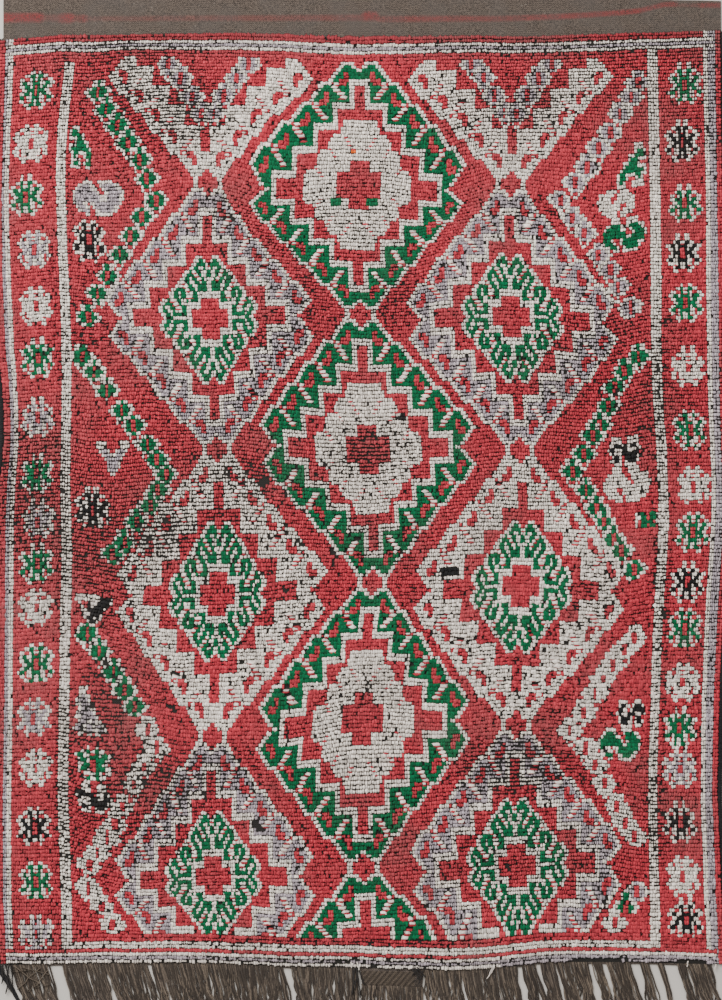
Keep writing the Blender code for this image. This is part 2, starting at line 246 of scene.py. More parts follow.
# One quarter of a side medallion, from its middle row outwards and from its axis outwards
HOOKED_MEDALLION = (
    "rrrrrrrrwwwwwwwwggww",
    "rrrrrrrrwwggggggwggww",
    "rrrrrrrrwwggwwwgwwggww",
    "rrrrwwwwwwggfffggwwgww",
    "rrrrwwwwwwwwgfffgggww",
    "rrrrwgggwgwwggfffgww",
    "wwwwwggfffggwggww",
    "wwwwwggwwwggwggww",
    "wggggwggffggggww",
    "wggggwwggffwww",
    "wggwggwwggffw",
    "wwgffggwggww",
    "gwwgffgggww",
    "gwwggffgww",
    "wgwwggww",
    "dggggww",
    "rwggww",
    "rrwww",
)

# Half width of the middle medallion by rows from its middle, and the red dots along its notches
MIDDLE_MEDALLION = (22, 22, 22, 22, 21, 17, 17, 17, 17, 16, 13, 13, 12, 11, 8, 8, 7, 7)
MEDALLION_DOTS = (
    (6, 13), (5, 12), (4, 11), (3, 10),
    (12, 10), (11, 9), (10, 8),
    (17, 5), (16, 4), (15, 3),
)
MIDDLE_CROSS = ((4, 6), (9, 3))

# Small figures, each charted once and knotted where it is wanted
ROSETTE = (
    ".....ww..ww.....",
    "...wwccddccww...",
    ".wwrrwcddcwrrww.",
    "wwccwwccccwwccww",
    ".wwccwcrrcwccww.",
    "..wwcccrrcccww..",
    ".wwccwcrrcwccww.",
    "wccrwwccccwwrccw",
    ".wwrddcwwcddrww.",
    "...wwccwwccww...",
    "....ww....ww....",
)
LINK = (
    "...wwccww...",
    ".wwccrrccww.",
    "wwcccrrcccww",
    ".wwccrrccww.",
    "...wwccww...",
)
RINGLET = (
    ".ww.",
    "w..w",
    ".ww.",
)
THIN_CURL = (
    "..wwww.r.wwww..",
    ".wwcccwrwwccww.",
    "wccccccwrwwccw.",
    "wccwwwcccwwwccw",
    ".wcwwwcccccccw.",
    "..wccwrwccccw..",
    ".wwccwrwwcccw..",
    "...www.wwwww...",
)
ARROWHEAD = (
    "wwwwwwwwwccccw",
    ".wwrrcwwccccw.",
    "..wwrcwcccww..",
    "...wwcccccw...",
    "....wwcccw....",
    "....wccwcw....",
    ".....wccw.....",
)
CURL = (
    "....wwwww..wwwwww.....",
    "..wwccccwwrrwcccccww..",
    ".wcccccccwwrrwcccccww.",
    "wccccccccccwrrwwcccccw",
    "wcccccccccccwwwcccccww",
    "wcccwwrrwwccccccccccw.",
    ".wcccwwrrwccccccccww..",
    "..wwcccwrrwwcccccww...",
    ".....www..wwwwwww.....",
)
COMB = (
    ".www......",
    "wggw......",
    "wgggww....",
    "wwwggw....",
    "..wgggww..",
    "wwwggggw..",
    "wgggggggw.",
    "wwggwwwggw",
    ".wgw.rwggw",
    ".wwww..wgw",
    ".wggw.wggw",
    ".wwww..www",
)
CHEVRON = (
    "wwww......wwww",
    "wccww....wwccw",
    ".wcccw..wcccw.",
    "..wcccwwcccw..",
    "...wccccccw...",
    "....wccccw....",
    ".....wccw.....",
    "......ww......",
)
BELL = (
    "..wwww.........",
    "..wccww........",
    ".wccccw........",
    "..wcccww.......",
    ".wwccccw.......",
    "..wccccww......",
    ".wccccccww.....",
    ".wwcccccccw....",
    "..wcccwwccww...",
    ".wccwwccwwccw..",
    "wccw.wccw.wccw.",
    ".wccw.wcw.wcw..",
    "..ww..ww..ww...",
)
SMALL_CROSS = (
    "ww.cc.cc.w",
    "wwwcc.ccww",
    "ww.cccc.ww",
    "ww.cc.cc..",
)

# Pixels wide and tall of a border rosette and of a link of the zigzag bands
ROSETTE_SIZE = (35.0, 39.0)
LINK_SIZE = (26.5, 19.0)
RINGLET_SIZE = (9.6, 9.0)
RINGLET_DROP = 11.5

# Rosettes of the two borders: pixel across, pixel down, wool of the ring
BORDER_ROSETTES = (
    (36, 91, "g"), (31, 145, "w"), (26, 197, "g"), (34, 250, "l"), (36, 307, "w"), (38, 359, "g"),
    (38, 419, "l"), (37, 475, "g"), (38, 521, "l"), (37, 565, "g"), (36, 608, "w"), (36, 664, "g"),
    (34, 718, "l"), (36, 768, "w"), (34, 827, "k"), (36, 881, "g"), (36, 934, "l"), (685, 84, "g"),
    (682, 141, "k"), (685, 204, "g"), (683, 254, "k"), (686, 303, "g"), (688, 368, "w"),
    (690, 431, "g"), (694, 486, "w"), (692, 533, "g"), (688, 583, "k"), (685, 629, "g"),
    (683, 682, "w"), (680, 728, "g"), (680, 768, "l"), (680, 823, "k"), (683, 876, "w"),
    (686, 920, "k"),
)

# Links of the zigzag bands: wool, then the pixels (across, down) of each link
LINK_BANDS = (
    ("g", ((98, 91), (106, 108), (117, 124), (128, 142), (140, 159), (147, 179), (156, 200), (142, 217),
           (131, 236), (120, 255), (108, 275), (98, 294), (88, 316))),
    ("g", ((82, 356), (94, 372), (107, 389), (122, 410), (134, 427), (148, 445), (157, 460), (166, 475),
           (158, 491), (150, 505), (136, 522), (124, 542), (113, 556))),
    ("g", ((87, 634), (99, 651), (113, 671), (124, 689), (135, 708))),
    ("w", ((147, 729), (157, 748), (144, 766), (134, 784), (122, 806), (115, 823), (107, 837), (98, 851),
           (89, 865), (88, 888), (102, 906), (113, 924))),
    ("l", ((638, 83), (631, 98), (620, 115), (610, 132), (599, 149), (587, 166), (575, 182), (560, 200),
           (573, 217), (585, 233), (599, 255), (610, 271), (619, 288), (630, 308))),
    ("g", ((639, 357), (625, 370), (615, 388), (609, 408), (600, 425), (593, 436), (584, 455), (572, 471),
           (586, 490), (597, 508), (605, 522), (613, 538), (621, 552), (634, 569))),
    ("w", ((635, 636), (624, 650), (612, 664), (603, 679), (595, 694), (584, 711), (570, 730), (586, 748),
           (596, 764), (605, 784), (617, 806), (625, 822), (635, 836))),
    ("l", ((637, 891),)),
    ("g", ((626, 906),)),
    ("w", ((615, 922),)),
    ("l", ((472, 64), (484, 78), (495, 96), (505, 113), (517, 113), (527, 95), (539, 78), (551, 64))),
    ("l", ((169, 64), (181, 78), (192, 96), (202, 113), (214, 113), (224, 95), (236, 78), (248, 64))),
)

# Small figures between the bands: chart, wool, pixel across and down, pixels wide and tall, turned
FILLERS = (
    ("comb", "g", 81, 148, 23, 44, False),
    ("curl", "l", 98, 198, 51, 34, False),
    ("rosette", "k", 89, 241, 34, 41, False),
    ("chevron", "l", 113, 459, 33, 31, False),
    ("rosette", "k", 93, 510, 38, 39, False),
    ("arrowhead", "k", 93, 611, 38, 27, False),
    ("bell", "l", 91, 714, 35, 49, False),
    ("rosette", "g", 93, 765, 38, 38, False),
    ("thin curl", "k", 94, 801, 37, 25, False),
    ("comb", "g", 632, 168, 31, 44, True),
    ("curl", "w", 616, 204, 39, 25, True),
    ("curl", "g", 625, 236, 45, 33, False),
    ("thin curl", "k", 625, 453, 35, 26, False),
    ("curl", "w", 628, 485, 49, 32, False),
    ("cross", "g", 647, 520, 25, 15, False),
    ("thin curl", "k", 631, 713, 31, 25, True),
    ("curl", "g", 620, 745, 43, 32, False),
)

# Places where knots have gone and the ground shows: pixel across and down, half length, half width, turn
LOST_KNOTS = (
    (264, 481, 7.5, 4.5, -0.7),
    (285, 590, 5.0, 3.0, 0.3),
    (258, 826, 8.0, 4.0, 0.7),
    (288, 700, 18.0, 0.9, 1.50),
    (287, 738, 16.0, 0.8, 1.60),
    (171, 708, 7.0, 2.6, 0.5),
    (334, 552, 6.0, 2.0, 0.8),
    (333, 553, 5.0, 1.5, -0.3),
    (326, 464, 7.0, 1.8, 0.65),
    (300, 543, 6.0, 2.2, 0.9),
    (118, 702, 8.0, 2.0, 0.4),
    (106, 664, 7.0, 2.2, 0.9),
    (372, 968, 2.6, 5.0, 0.0),
    (242, 963, 2.2, 3.0, 0.0),
    (340, 963, 9.0, 1.6, 0.0),
    (600, 960, 26.0, 2.0, 0.0),
    (690, 962, 16.0, 2.4, 0.0),
    (540, 966, 10.0, 2.2, 0.0),
)

# Repairs and flecks in another wool: pixels left, top, right, bottom, wool
REPAIRS = (
    (441, 569, 458, 573, "k"),
    (400, 414, 405, 417, "k"),
    (397, 418, 401, 420, "k"),
    (331, 201, 342, 203, "g"),
    (366, 201, 377, 203, "g"),
    (351, 150, 356, 152, "o"),
)

# Places where the wool is dusty: pixel across and down, half width, half height, strength
SOILED_PLACES = (
    (10, 500, 50, 260, 0.14),
    (70, 560, 80, 130, 0.10),
    (100, 690, 90, 80, 0.12),
    (215, 440, 60, 40, 0.10),
    (370, 690, 60, 40, 0.08),
    (360, 45, 420, 14, 0.16),
    (370, 450, 40, 30, 0.16),
    (360, 960, 420, 16, 0.14),
    (168, 272, 10, 16, 0.25),
)

# Places where the rows have parted: pixel across and down, half width, half height, strength
PARTED_PLACES = (
    (213, 214, 34, 26, 0.9), (518, 214, 42, 28, 0.8), (208, 110, 60, 30, 0.5),
    (512, 110, 60, 26, 0.5), (158, 530, 34, 26, 0.8), (290, 600, 40, 44, 0.8),
    (455, 590, 30, 30, 0.6), (590, 590, 30, 36, 0.7), (190, 770, 70, 34, 0.9),
    (520, 765, 74, 30, 0.8), (600, 890, 34, 40, 0.5), (370, 690, 44, 28, 0.6),
    (32, 520, 30, 140, 0.5), (368, 449, 26, 24, 0.9), (105, 690, 34, 60, 0.9),
    (330, 84, 30, 26, 0.5), (150, 370, 30, 40, 0.6), (110, 890, 40, 40, 0.5),
    (270, 330, 36, 34, 0.5), (392, 300, 30, 30, 0.5), (250, 480, 30, 24, 0.7),
    (480, 860, 50, 30, 0.5), (690, 700, 30, 60, 0.4), (372, 540, 50, 26, 0.5),
    (64, 720, 9, 260, 0.95), (64, 420, 9, 120, 0.7), (66, 180, 9, 120, 0.5),
    (661, 560, 10, 210, 0.95), (655, 800, 10, 130, 0.95), (658, 400, 9, 60, 0.7),
    (110, 650, 60, 60, 0.7), (100, 560, 40, 60, 0.5), (280, 520, 70, 60, 0.5),
    (110, 200, 46, 120, 0.3), (100, 380, 40, 60, 0.4), (130, 820, 90, 50, 0.45),
    (330, 830, 60, 40, 0.5), (580, 400, 70, 36, 0.45), (620, 720, 60, 60, 0.35),
    (375, 450, 44, 30, 0.7), (555, 690, 70, 44, 0.6), (90, 920, 50, 30, 0.4),
    (360, 943, 420, 5, 0.75), (360, 963, 420, 6, 0.85), (360, 48, 420, 8, 0.45),
    (640, 440, 40, 60, 0.55), (560, 620, 40, 40, 0.5), (630, 640, 40, 40, 0.4),
    (240, 250, 60, 30, 0.35), (300, 310, 30, 40, 0.4), (420, 620, 30, 50, 0.45),
    (90, 270, 40, 50, 0.4), (180, 700, 50, 50, 0.6), (120, 740, 60, 90, 0.6),
    (110, 345, 60, 24, 0.75), (230, 640, 40, 60, 0.45), (580, 346, 44, 24, 0.35),
    (500, 640, 60, 30, 0.5),
)

# Starts of the soft noises and of the random draws
ROW_SEED = 3
WEB_SEED = 5
DASH_SEED = 21
PATCH_SEED = 22
FULLNESS_SEED = 31
SOIL_SEED = 41
FRINGE_SEED = 41

# How a gap beside a knot narrows, thins and sinks it, how knots turn, lean and stand, and how far the red
# knots by the head line are darkened as painted shade
GAP_NARROWS = 0.16
GAP_THINS = 0.58
GAP_SINKS = 0.0010
TUFT_TURN = 0.35
TUFT_LEAN = -0.22
LEAST_PILE = 0.0015
PILE_SPARE = 0.0006
ROOT_OVERLAP = 0.0004
THIN_RISE = 0.0004
HEAD_SHADE = 0.45
HEAD_SHADE_DEPTH = 0.045
THIN_KNOT_WIDTH = 0.42
THIN_KNOT_DEPTH = 0.26

# Share of knots that have gone anywhere, and how much wear adds to it
LOST_SHARE = 0.014
LOST_BY_WEAR = 0.06

# How ready the rows of each wool are to part, and how far wear parts them
READINESS = {RED: 0.30, IVORY: 0.22, GREEN: -0.15, LILAC: 0.30, BLACK: 0.15, ORANGE: -1.0}
WEAR_OF_SOFT_WOOL = 0.56
WEAR_OF_FIRM_WOOL = 0.2
SOFT_WOOLS = (IVORY, LILAC, RED)
FIRM_SOIL = 0.15
PATCH_WEIGHT = 0.16
DASH_WEIGHT = 0.30

# Wraps of the overcasting: sections in each, depth of the trough and of the waist between two, slant
SECTIONS_A_WRAP = 3
WRAP_TROUGH = 0.74
WRAP_WAIST = 0.93
WRAP_SLANT = 0.8
HIGHEST_WRAP = 1.08

# The studio
FLOOR_SIZE = 8.0
FLOOR_DROP = 0.0003
KEY_PLACE = (-2.6, 3.4, 4.2)
KEY_SIZE = 4.0
SKY_COLOUR = (1.0, 0.985, 0.965, 1.0)
SENSOR_WIDTH = 36.0

# Dusty colours of the wool and of the web, and the painted shade at the wool's roots and on the ground
# under the pile, as linear values
DUST = (0.10, 0.08, 0.07, 1.0)
PAINTED_ROOT_SHADE = (0.012, 0.009, 0.008, 1.0)
WEB_CLOUD = (0.06, 0.052, 0.047, 1.0)
WEB_FLECK = (0.20, 0.18, 0.16, 1.0)
GROUND_SHADE_DARK = (0.004, 0.0035, 0.003, 1.0)
GROUND_SHADE_LIGHT = (0.020, 0.018, 0.015, 1.0)

# The woven ground's grid, and its flat size as laid
GROUND_COLUMNS = 330
WEB_GRID_ROWS = 44
PILE_GRID_ROWS = 56

# How full the knots of each wool stand, as a share of their room
FULLNESS = {RED: 1.30, IVORY: 1.14, GREEN: 1.46, LILAC: 1.14, BLACK: 1.20, ORANGE: 1.0}

# Red stripe of the head web: pixel across, pixel down, half its width, strength
WEB_STRIPE = (
    (0, 17.5, 3.5, 1.0), (41, 17.5, 3.5, 1.0), (45, 17.5, 2.5, 0.35), (58, 18.0, 3.0, 0.5),
    (62, 18.0, 3.5, 1.0), (71, 18.0, 3.5, 1.0), (76, 18.0, 2.5, 0.3), (84, 18.5, 3.0, 0.8),
    (90, 18.5, 2.0, 0.25), (360, 17.5, 2.5, 0.5), (365, 16.0, 3.5, 0.9), (376, 16.0, 3.5, 0.9),
    (380, 19.0, 2.4, 0.5), (430, 18.5, 2.4, 0.7), (500, 18.5, 2.2, 0.6), (560, 16.5, 2.2, 0.8),
    (620, 12.5, 2.0, 0.9), (640, 10.5, 2.0, 0.9), (663, 4.5, 2.0, 0.8), (675, 4.0, 2.0, 0.7),
    (680, 5.0, 1.5, 0.2), (698, 5.0, 1.6, 0.4), (702, 5.0, 2.0, 0.8), (722, 5.0, 2.0, 0.8),
)

# Tails of the overcast edges past the foot: drop, sideways drift towards the middle, share of the width
LEFT_TAIL = (
    (0.007, 0.000, 1.00),
    (0.030, 0.016, 0.95),
    (0.058, 0.034, 0.80),
    (0.088, 0.050, 0.55),
)
RIGHT_TAIL = (
    (0.007, 0.000, 1.00),
    (0.018, 0.001, 0.60),
)

# Cross-section of an overcast edge: place across it and share of its thickness
OVERCAST_SECTION = (
    (0.00, 0.55),
    (0.18, 0.88),
    (0.50, 1.00),
    (0.82, 0.88),
    (1.00, 0.50),
)

# The fringe, as the part's source has it
STRIP_DEPTH = 0.005
STRIP_THICKNESS = 0.003
FRINGE_LEFT = -0.806
FRINGE_RIGHT = 0.806
LOCK_WIDTH = 0.0056
LOCK_PITCH = 0.0108
BUNCH_LOCKS = 4
BUNCH_DRAW = 0.24
TIP_SPREAD = 0.020
GOLDEN_TURN = 2.399963
WEB_REMNANT_LEFT = 0.001
WEB_REMNANT_RIGHT = 0.142
WEB_REMNANT_DEPTH = 0.040

# Yarns of the fringe, which the part's source doesn't have
TWILL_PITCH = 0.0032
YARN_SIDES = 5
YARN_STATIONS = 11
STRAY_SHARE = 0.22
STRAY_REACH = 0.009
LOCK_SWAY_RANGE = (0.0022, 0.0058)
LOCK_END_SPREAD = 0.0030
LOCK_SHADE = 0.28
LOOSE_LIFT = 0.0046

# Upper and under yarns of a lock: lift, gathering to its middle, spread of the ends, thickness, spread
# of the wave
UPPER_YARN = (0.0012, 0.72, 0.0010, 0.82, 0.45)
UNDER_YARN = (0.0002, 0.2, 0.0028, 1.25, 1.5)

# Material slots of the fringe
FRINGE_SLOT = 0
STRIP_SLOT = 1
LOOSE_SLOTS = {"f": FRINGE_SLOT, "k": 2, "w": 3}

# How far the fringe leans towards +X for each metre that it hangs down: x, lean
FRINGE_LEAN = (
    (-0.810, 0.34), (-0.500, 0.28), (-0.200, 0.14), (-0.030, 0.02), (0.060, 0.06), (0.250, 0.14),
    (0.500, 0.28), (0.810, 0.30),
)

# Places where the fringe has lost its locks: from x, to x
BARE_PLACES = (
    (-0.718, -0.690), (-0.500, -0.480), (-0.182, -0.158), (-0.012, 0.004), (0.356, 0.368),
    (0.400, 0.414), (0.516, 0.534), (0.552, 0.562), (0.620, 0.636), (0.656, 0.682), (0.696, 0.724),
)

# Loose yarns over the fringe, in black, fringe or white wool: wool, pixels of its two ends
LOOSE_ENDS = (
    ("k", 412, 968, 420, 981), ("k", 414, 967, 423, 980), ("k", 417, 967, 425, 977),
    ("k", 420, 967, 412, 976), ("k", 424, 970, 414, 982), ("k", 423, 975, 418, 984),
    ("k", 352, 966, 355, 986), ("k", 355, 966, 352, 995), ("k", 356, 967, 361, 998),
    ("k", 358, 968, 355, 990), ("k", 359, 970, 364, 985), ("w", 493, 967, 487, 979),
    ("w", 494, 968, 489, 976), ("w", 357, 962, 360, 972), ("w", 351, 962, 352, 968),
    ("w", 688, 961, 687, 967), ("w", 716, 964, 715, 970), ("k", 3, 962, 2, 984),
    ("k", 6, 963, 9, 990), ("k", 9, 964, 6, 994), ("k", 2, 966, 11, 992), ("k", 11, 965, 13, 986),
    ("k", 5, 964, 14, 996), ("k", 0, 964, 4, 978), ("f", 14, 966, 40, 985), ("f", 40, 968, 16, 990),
    ("f", 22, 967, 50, 975), ("f", 48, 970, 30, 992), ("f", 12, 972, 36, 970),
    ("f", 26, 990, 52, 984),
)


def dye_setting(name, description, default):
    """A colour setting, in linear values."""
    return FloatVectorProperty(
        name=name, description=description, default=default, subtype="COLOR", size=3, min=0.0, max=1.0)


class RugStageSettings(bpy.types.PropertyGroup):
    """Camera, light and floor."""

    camera_height: FloatProperty(
        name="Camera height", description="Height of the lens above the floor",
        default=9.0, min=2.0, unit="LENGTH")
    key_power: FloatProperty(
        name="Key light", description="Power of the large soft light",
        default=560.0, min=0.0, unit="POWER")
    sky_strength: FloatProperty(
        name="Sky strength", description="Strength of the plain light from all round",
        default=1.05, min=0.0)
    floor_colour: dye_setting("Floor", "Colour of the plain floor", (0.45, 0.42, 0.38))


class RugPileSettings(bpy.types.PropertyGroup):
    """Knots and their wools."""

    knot_width: FloatProperty(
        name="Knot width", description="Width of a knot as a share of its room in the row",
        default=1.10, min=0.5, max=1.5, subtype="FACTOR")
    knot_depth: FloatProperty(
        name="Knot depth", description="Depth of a knot as a share of the row pitch",
        default=1.08, min=0.5, max=1.5, subtype="FACTOR")
    unevenness: FloatProperty(
        name="Unevenness", description="How far knots stray from their places, as a share of the pitch",
        default=0.13, min=0.0, max=0.5, subtype="FACTOR")
    raggedness: FloatProperty(
        name="Raggedness", description="How unevenly each knot is cut, as a share of its size",
        default=0.15, min=0.0)
    seed: IntProperty(name="Seed", description="Start of the knots' small differences", default=7)
    red: dye_setting("Red", "Madder red wool", (0.40, 0.030, 0.044))
    ivory: dye_setting("Ivory", "Ivory wool", (0.76, 0.68, 0.60))
    green: dye_setting("Green", "Deep green wool", (0.0, 0.088, 0.032))
    lilac: dye_setting("Lilac", "Faded lilac wool", (0.37, 0.315, 0.34))
    orange: dye_setting("Orange", "Orange wool of one stray knot", (0.62, 0.10, 0.008))
    black: dye_setting("Black", "Black wool", (0.009, 0.009, 0.009))


class RugGroundSettings(bpy.types.PropertyGroup):
    """The woven ground and its bare head end."""

    warp_pitch: FloatProperty(
        name="Warp pitch", description="Distance between neighbouring warps of the head web",
        default=0.0052, min=0.001, unit="LENGTH")
    pick_pitch: FloatProperty(
        name="Pick pitch", description="Distance between neighbouring picks of the head web",
        default=0.0046, min=0.001, unit="LENGTH")
    web: dye_setting("Web", "Grey-brown web wool", (0.050, 0.038, 0.030))
    stripe: dye_setting("Stripe", "Faded red stripe of the head web", (0.17, 0.018, 0.020))


class RugEdgeSettings(bpy.types.PropertyGroup):
    """The overcast sides."""

    wrap_pitch: FloatProperty(
        name="Wrap pitch", description="Distance between neighbouring wraps of the yarn",
        default=0.0056, min=0.001, unit="LENGTH")
    yarn: dye_setting("Yarn", "Black overcasting yarn", (0.010, 0.010, 0.011))


class RugFringeSettings(bpy.types.PropertyGroup):
    """The fringe at the foot."""

    yarn_radius: FloatProperty(
        name="Yarn radius", description="Radius of one fringe yarn",
        default=0.0015, min=0.0005, unit="LENGTH")
    yarns_a_lock: IntProperty(name="Yarns a lock", description="Yarns in each lock", default=8, min=1)
    yarn: dye_setting("Yarn", "Grey-brown warp yarn", (0.116, 0.090, 0.066))


def read_table(table, at, column=1):
    """Read one column of a table between its rows."""
    rows = sorted(table)
    places = [row[0] for row in rows]
    values = [row[column] for row in rows]
    return np.interp(at, places, values)


def eased(table, at, column=1):
    """Read a column of a table between its rows, eased so that it never runs past them."""
    rows = sorted(table)
    if at <= rows[0][0]:
        return rows[0][column]
    for low, high in zip(rows, rows[1:]):
        if at <= high[0]:
            part = (at - low[0]) / (high[0] - low[0])
            part = part * part * (3.0 - 2.0 * part)
            return low[column] + (high[column] - low[column]) * part
    return rows[-1][column]


def pixel_point(across, down):
    """Place on the cloth of one pixel."""
    return (across - PIXEL_OF_X_ZERO) * METRES_PER_PIXEL, (PIXEL_OF_Y_ZERO - down) * METRES_PER_PIXEL


def pixels_of(x, y):
    """Pixels across and down of places on the cloth."""
    return x / METRES_PER_PIXEL + PIXEL_OF_X_ZERO, PIXEL_OF_Y_ZERO - y / METRES_PER_PIXEL


def row_pixel(row, across):
    """Pixel down of a chart row, at one or more pixels across."""
    keys = [line[0] for line in ROW_LINES]
    row = float(row)
    after = int(np.clip(np.searchsorted(keys, row, side="right"), 1, len(keys) - 1))
    share = (row - keys[after - 1]) / (keys[after] - keys[after - 1])
    upper = np.interp(across, ROW_ACROSS, ROW_LINES[after - 1][1])
    lower = np.interp(across, ROW_ACROSS, ROW_LINES[after][1])
    return upper * (1.0 - share) + lower * share


def chart_row(across, down):
    """Chart row under a pixel."""
    rows = np.arange(CHART_ROWS)
    downs = [float(row_pixel(row, across)) for row in rows]
    return int(round(float(np.interp(down, downs, rows))))


def guides_at(down):
    """Half knots and pixels across of the guide lines, at a pixel down."""
    halves = [line[0] for line in GUIDE_LINES]
    pixels = [np.interp(down, GUIDE_DOWNS, line[1]) for line in GUIDE_LINES]
    return halves, pixels


def chart_half(across, down):
    """Half knot under a pixel."""
    halves, pixels = guides_at(down)
    return float(np.interp(across, pixels, halves))


def crease(x):
    """Depth of the lengthwise fold at one x."""
    return CREASE_DEPTH * np.maximum(0.0, 1.0 - np.abs(x) / CREASE_HALF_WIDTH)


def wear(x, y):
    """Depth that use has taken off the pile."""
    depth = np.zeros_like(np.asarray(x, dtype=float))
    for worn_x, worn_y, reach, deepest in WORN_PLACES:
        away = ((x - worn_x) ** 2 + (y - worn_y) ** 2) / reach ** 2
        depth = depth + deepest * np.exp(-away)
    return depth


def paint(chart, row, half, wool):
    """Give one half knot of the chart its wool."""
    if 0 <= row < CHART_ROWS and CHART_LEFT <= half < CHART_RIGHT:
        chart[row, half - CHART_LEFT] = wool


def paint_run(chart, row, start, stop, wool):
    """Give a run of half knots their wool."""
    for half in range(start, stop):
        paint(chart, row, half, wool)


def paint_figure(chart, lines, wool, across, down, width, height, turned=False):
    """Knot a small charted figure with its middle at one pixel and its size in pixels."""
    top = down - height / 2.0
    left = across - width / 2.0
    halves = np.arange(CHART_LEFT, CHART_RIGHT)
    share = (np.interp(halves + 0.5, *guides_at(top + height / 2.0)) - left) / width
    for row in range(chart_row(across, top), chart_row(across, top + height) + 1):
        step = int((float(row_pixel(row, across)) - top) / height * len(lines))
        if not 0 <= step < len(lines):
            continue
        text = lines[step][::-1] if turned else lines[step]
        for half, place in zip(halves, np.floor(share * len(text)).astype(int)):
            if 0 <= place < len(text) and text[place] != ".":
                paint(chart, row, half, wool if text[place] == "c" else WOOL_MARKS[text[place]])


def paint_links(chart, wool, places):
    """Knot a band of links, with a small ring under each but the last."""
    for across, down in places[:-1]:
        paint_figure(chart, RINGLET, wool, across, down + RINGLET_DROP, *RINGLET_SIZE)
    for across, down in places:
        paint_figure(chart, LINK, wool, across, down, *LINK_SIZE)


def band_quarter(outer, inner):
    """Wools of one quarter of a stepped diamond: rows from its tip, half knots from its axis."""
    rows = []
    for step in range(MIDDLE_ROW + 1):
        line = {}
        tooth = min(step // TOOTH_PERIOD, LAST_TOOTH)
        in_tooth = step - TOOTH_PERIOD * tooth
        tip = FIRST_TIP + TOOTH_STEP * tooth
        if in_tooth < TOOTH_PERIOD:
            edge = tip + TOOTH_SLOPE[in_tooth]
        else:
            edge = tip + TOOTH_RETURN[in_tooth - TOOTH_PERIOD]
        start = band_start(step)
        for half in range(start, edge):
            deep = step > FIRST_STAIR and half < start + 5
            line[half] = inner if deep else outer
        paint_teeth(line, step, tooth, in_tooth, tip, edge)
        paint_steps(line, step)
        rows.append(line)
    return rows


def band_start(step):
    """First half knot of the band in a row, past the white steps on its inner side."""
    if step < 2:
        return (4, 3)[step]
    if step < 5:
        return 0
    if step < FIRST_STAIR:
        return 4
    return TOOTH_STEP * ((step - FIRST_STAIR) // TOOTH_PERIOD) + STAIR_REACH


def paint_teeth(line, step, tooth, in_tooth, tip, edge):
    """White dots, red flag and ladder of the band's teeth in one row of a quarter."""
    for half in (edge - 1, edge):
        line[half] = IVORY
    if in_tooth == 0:
        for half in range(tip - 2, tip + 2):
            line[half] = IVORY
    if tooth:
        if in_tooth == 0:
            line[tip - 5] = RUNG
            line[tip - 4] = RUNG
            line[tip - 3] = RED
            line[tip - 8] = line[tip - 7] = line[tip - 6] = RED
        elif in_tooth <= 4:
            first = tip - 4 - in_tooth
            for half in range(first, first + 3):
                line[half] = RUNG
    if in_tooth in (3, 4):
        line[tip - 1] = line[tip] = RED
    if in_tooth == 5:
        line[tip - 1] = line[tip] = line[tip + 1] = line[tip + 2] = RED
    if in_tooth == 6:
        line[tip] = line[tip + 1] = line[tip + 2] = RED
    if step < 5:
        for half in ((2, 3), (1, 2), (0,), (), ())[step]:
            line[half] = IVORY


def paint_steps(line, step):
    """White stepped frame on the band's inner side, in one row of a quarter."""
    if step in (5, 6):
        for half in range(0, 4):
            line[half] = IVORY
    elif 7 <= step < FIRST_STAIR:
        line[0] = line[1] = RED
        line[2] = line[3] = IVORY
    elif step >= FIRST_STAIR:
        stair, in_stair = divmod(step - FIRST_STAIR, TOOTH_PERIOD)
        far = TOOTH_STEP * stair + STAIR_REACH
        near = max(far - 10, 2)
        if in_stair < 2:
            for half in range(near, far):
                line[half] = IVORY
            for half in range(0, near):
                line[half] = RED
        else:
            for half in range(0, far - 2):
                line[half] = RED
            line[far - 2] = line[far - 1] = IVORY


def paint_diamond(chart, tip_row, axis, outer, inner):
    """Knot a whole stepped diamond, four quarters about its middle."""
    quarter = band_quarter(outer, inner)
    for step, line in enumerate(quarter):
        for row in {tip_row + step, tip_row + TIP_TO_TIP - step}:
            for half, wool in line.items():
                paint(chart, row, axis + half, wool)
                paint(chart, row, axis - 1 - half, wool)


def paint_joint(chart, tip_row, axis):
    """White dots that join a diamond to the one below it."""
    for row in range(tip_row + TIP_TO_TIP + 1, tip_row + REPEAT_ROWS):
        paint_run(chart, row, axis - 4, axis + 4, RED)
        for half in (4, 5):
            paint(chart, row, axis + half, IVORY)
            paint(chart, row, axis - 1 - half, IVORY)


def paint_middle_medallion(chart, middle, axis):
    """Knot a white medallion with its red cross."""
    for away, reach in enumerate(MIDDLE_MEDALLION):
        for row in {middle - away, middle + away}:
            paint_run(chart, row, axis - reach, axis + reach, IVORY)
    for half, away in MEDALLION_DOTS:
        for row in (middle - away, middle + away):
            paint_run(chart, row, axis + half - 1, axis + half + 1, DASH)
            paint_run(chart, row, axis - half - 1, axis - half + 1, DASH)
    for half, away in MIDDLE_CROSS:
        for row in range(middle - away, middle + away + 1):
            paint_run(chart, row, axis - half, axis + half, RED)


def paint_hooked_medallion(chart, middle, axis):
    """Knot a green hooked medallion with its red cross."""
    for away, line in enumerate(HOOKED_MEDALLION):
        for side in {-1, 1}:
            row = middle + side * away
            for half, mark in enumerate(line):
                paint(chart, row, axis + half, WOOL_MARKS[mark])
                paint(chart, row, axis - 1 - half, WOOL_MARKS[mark])


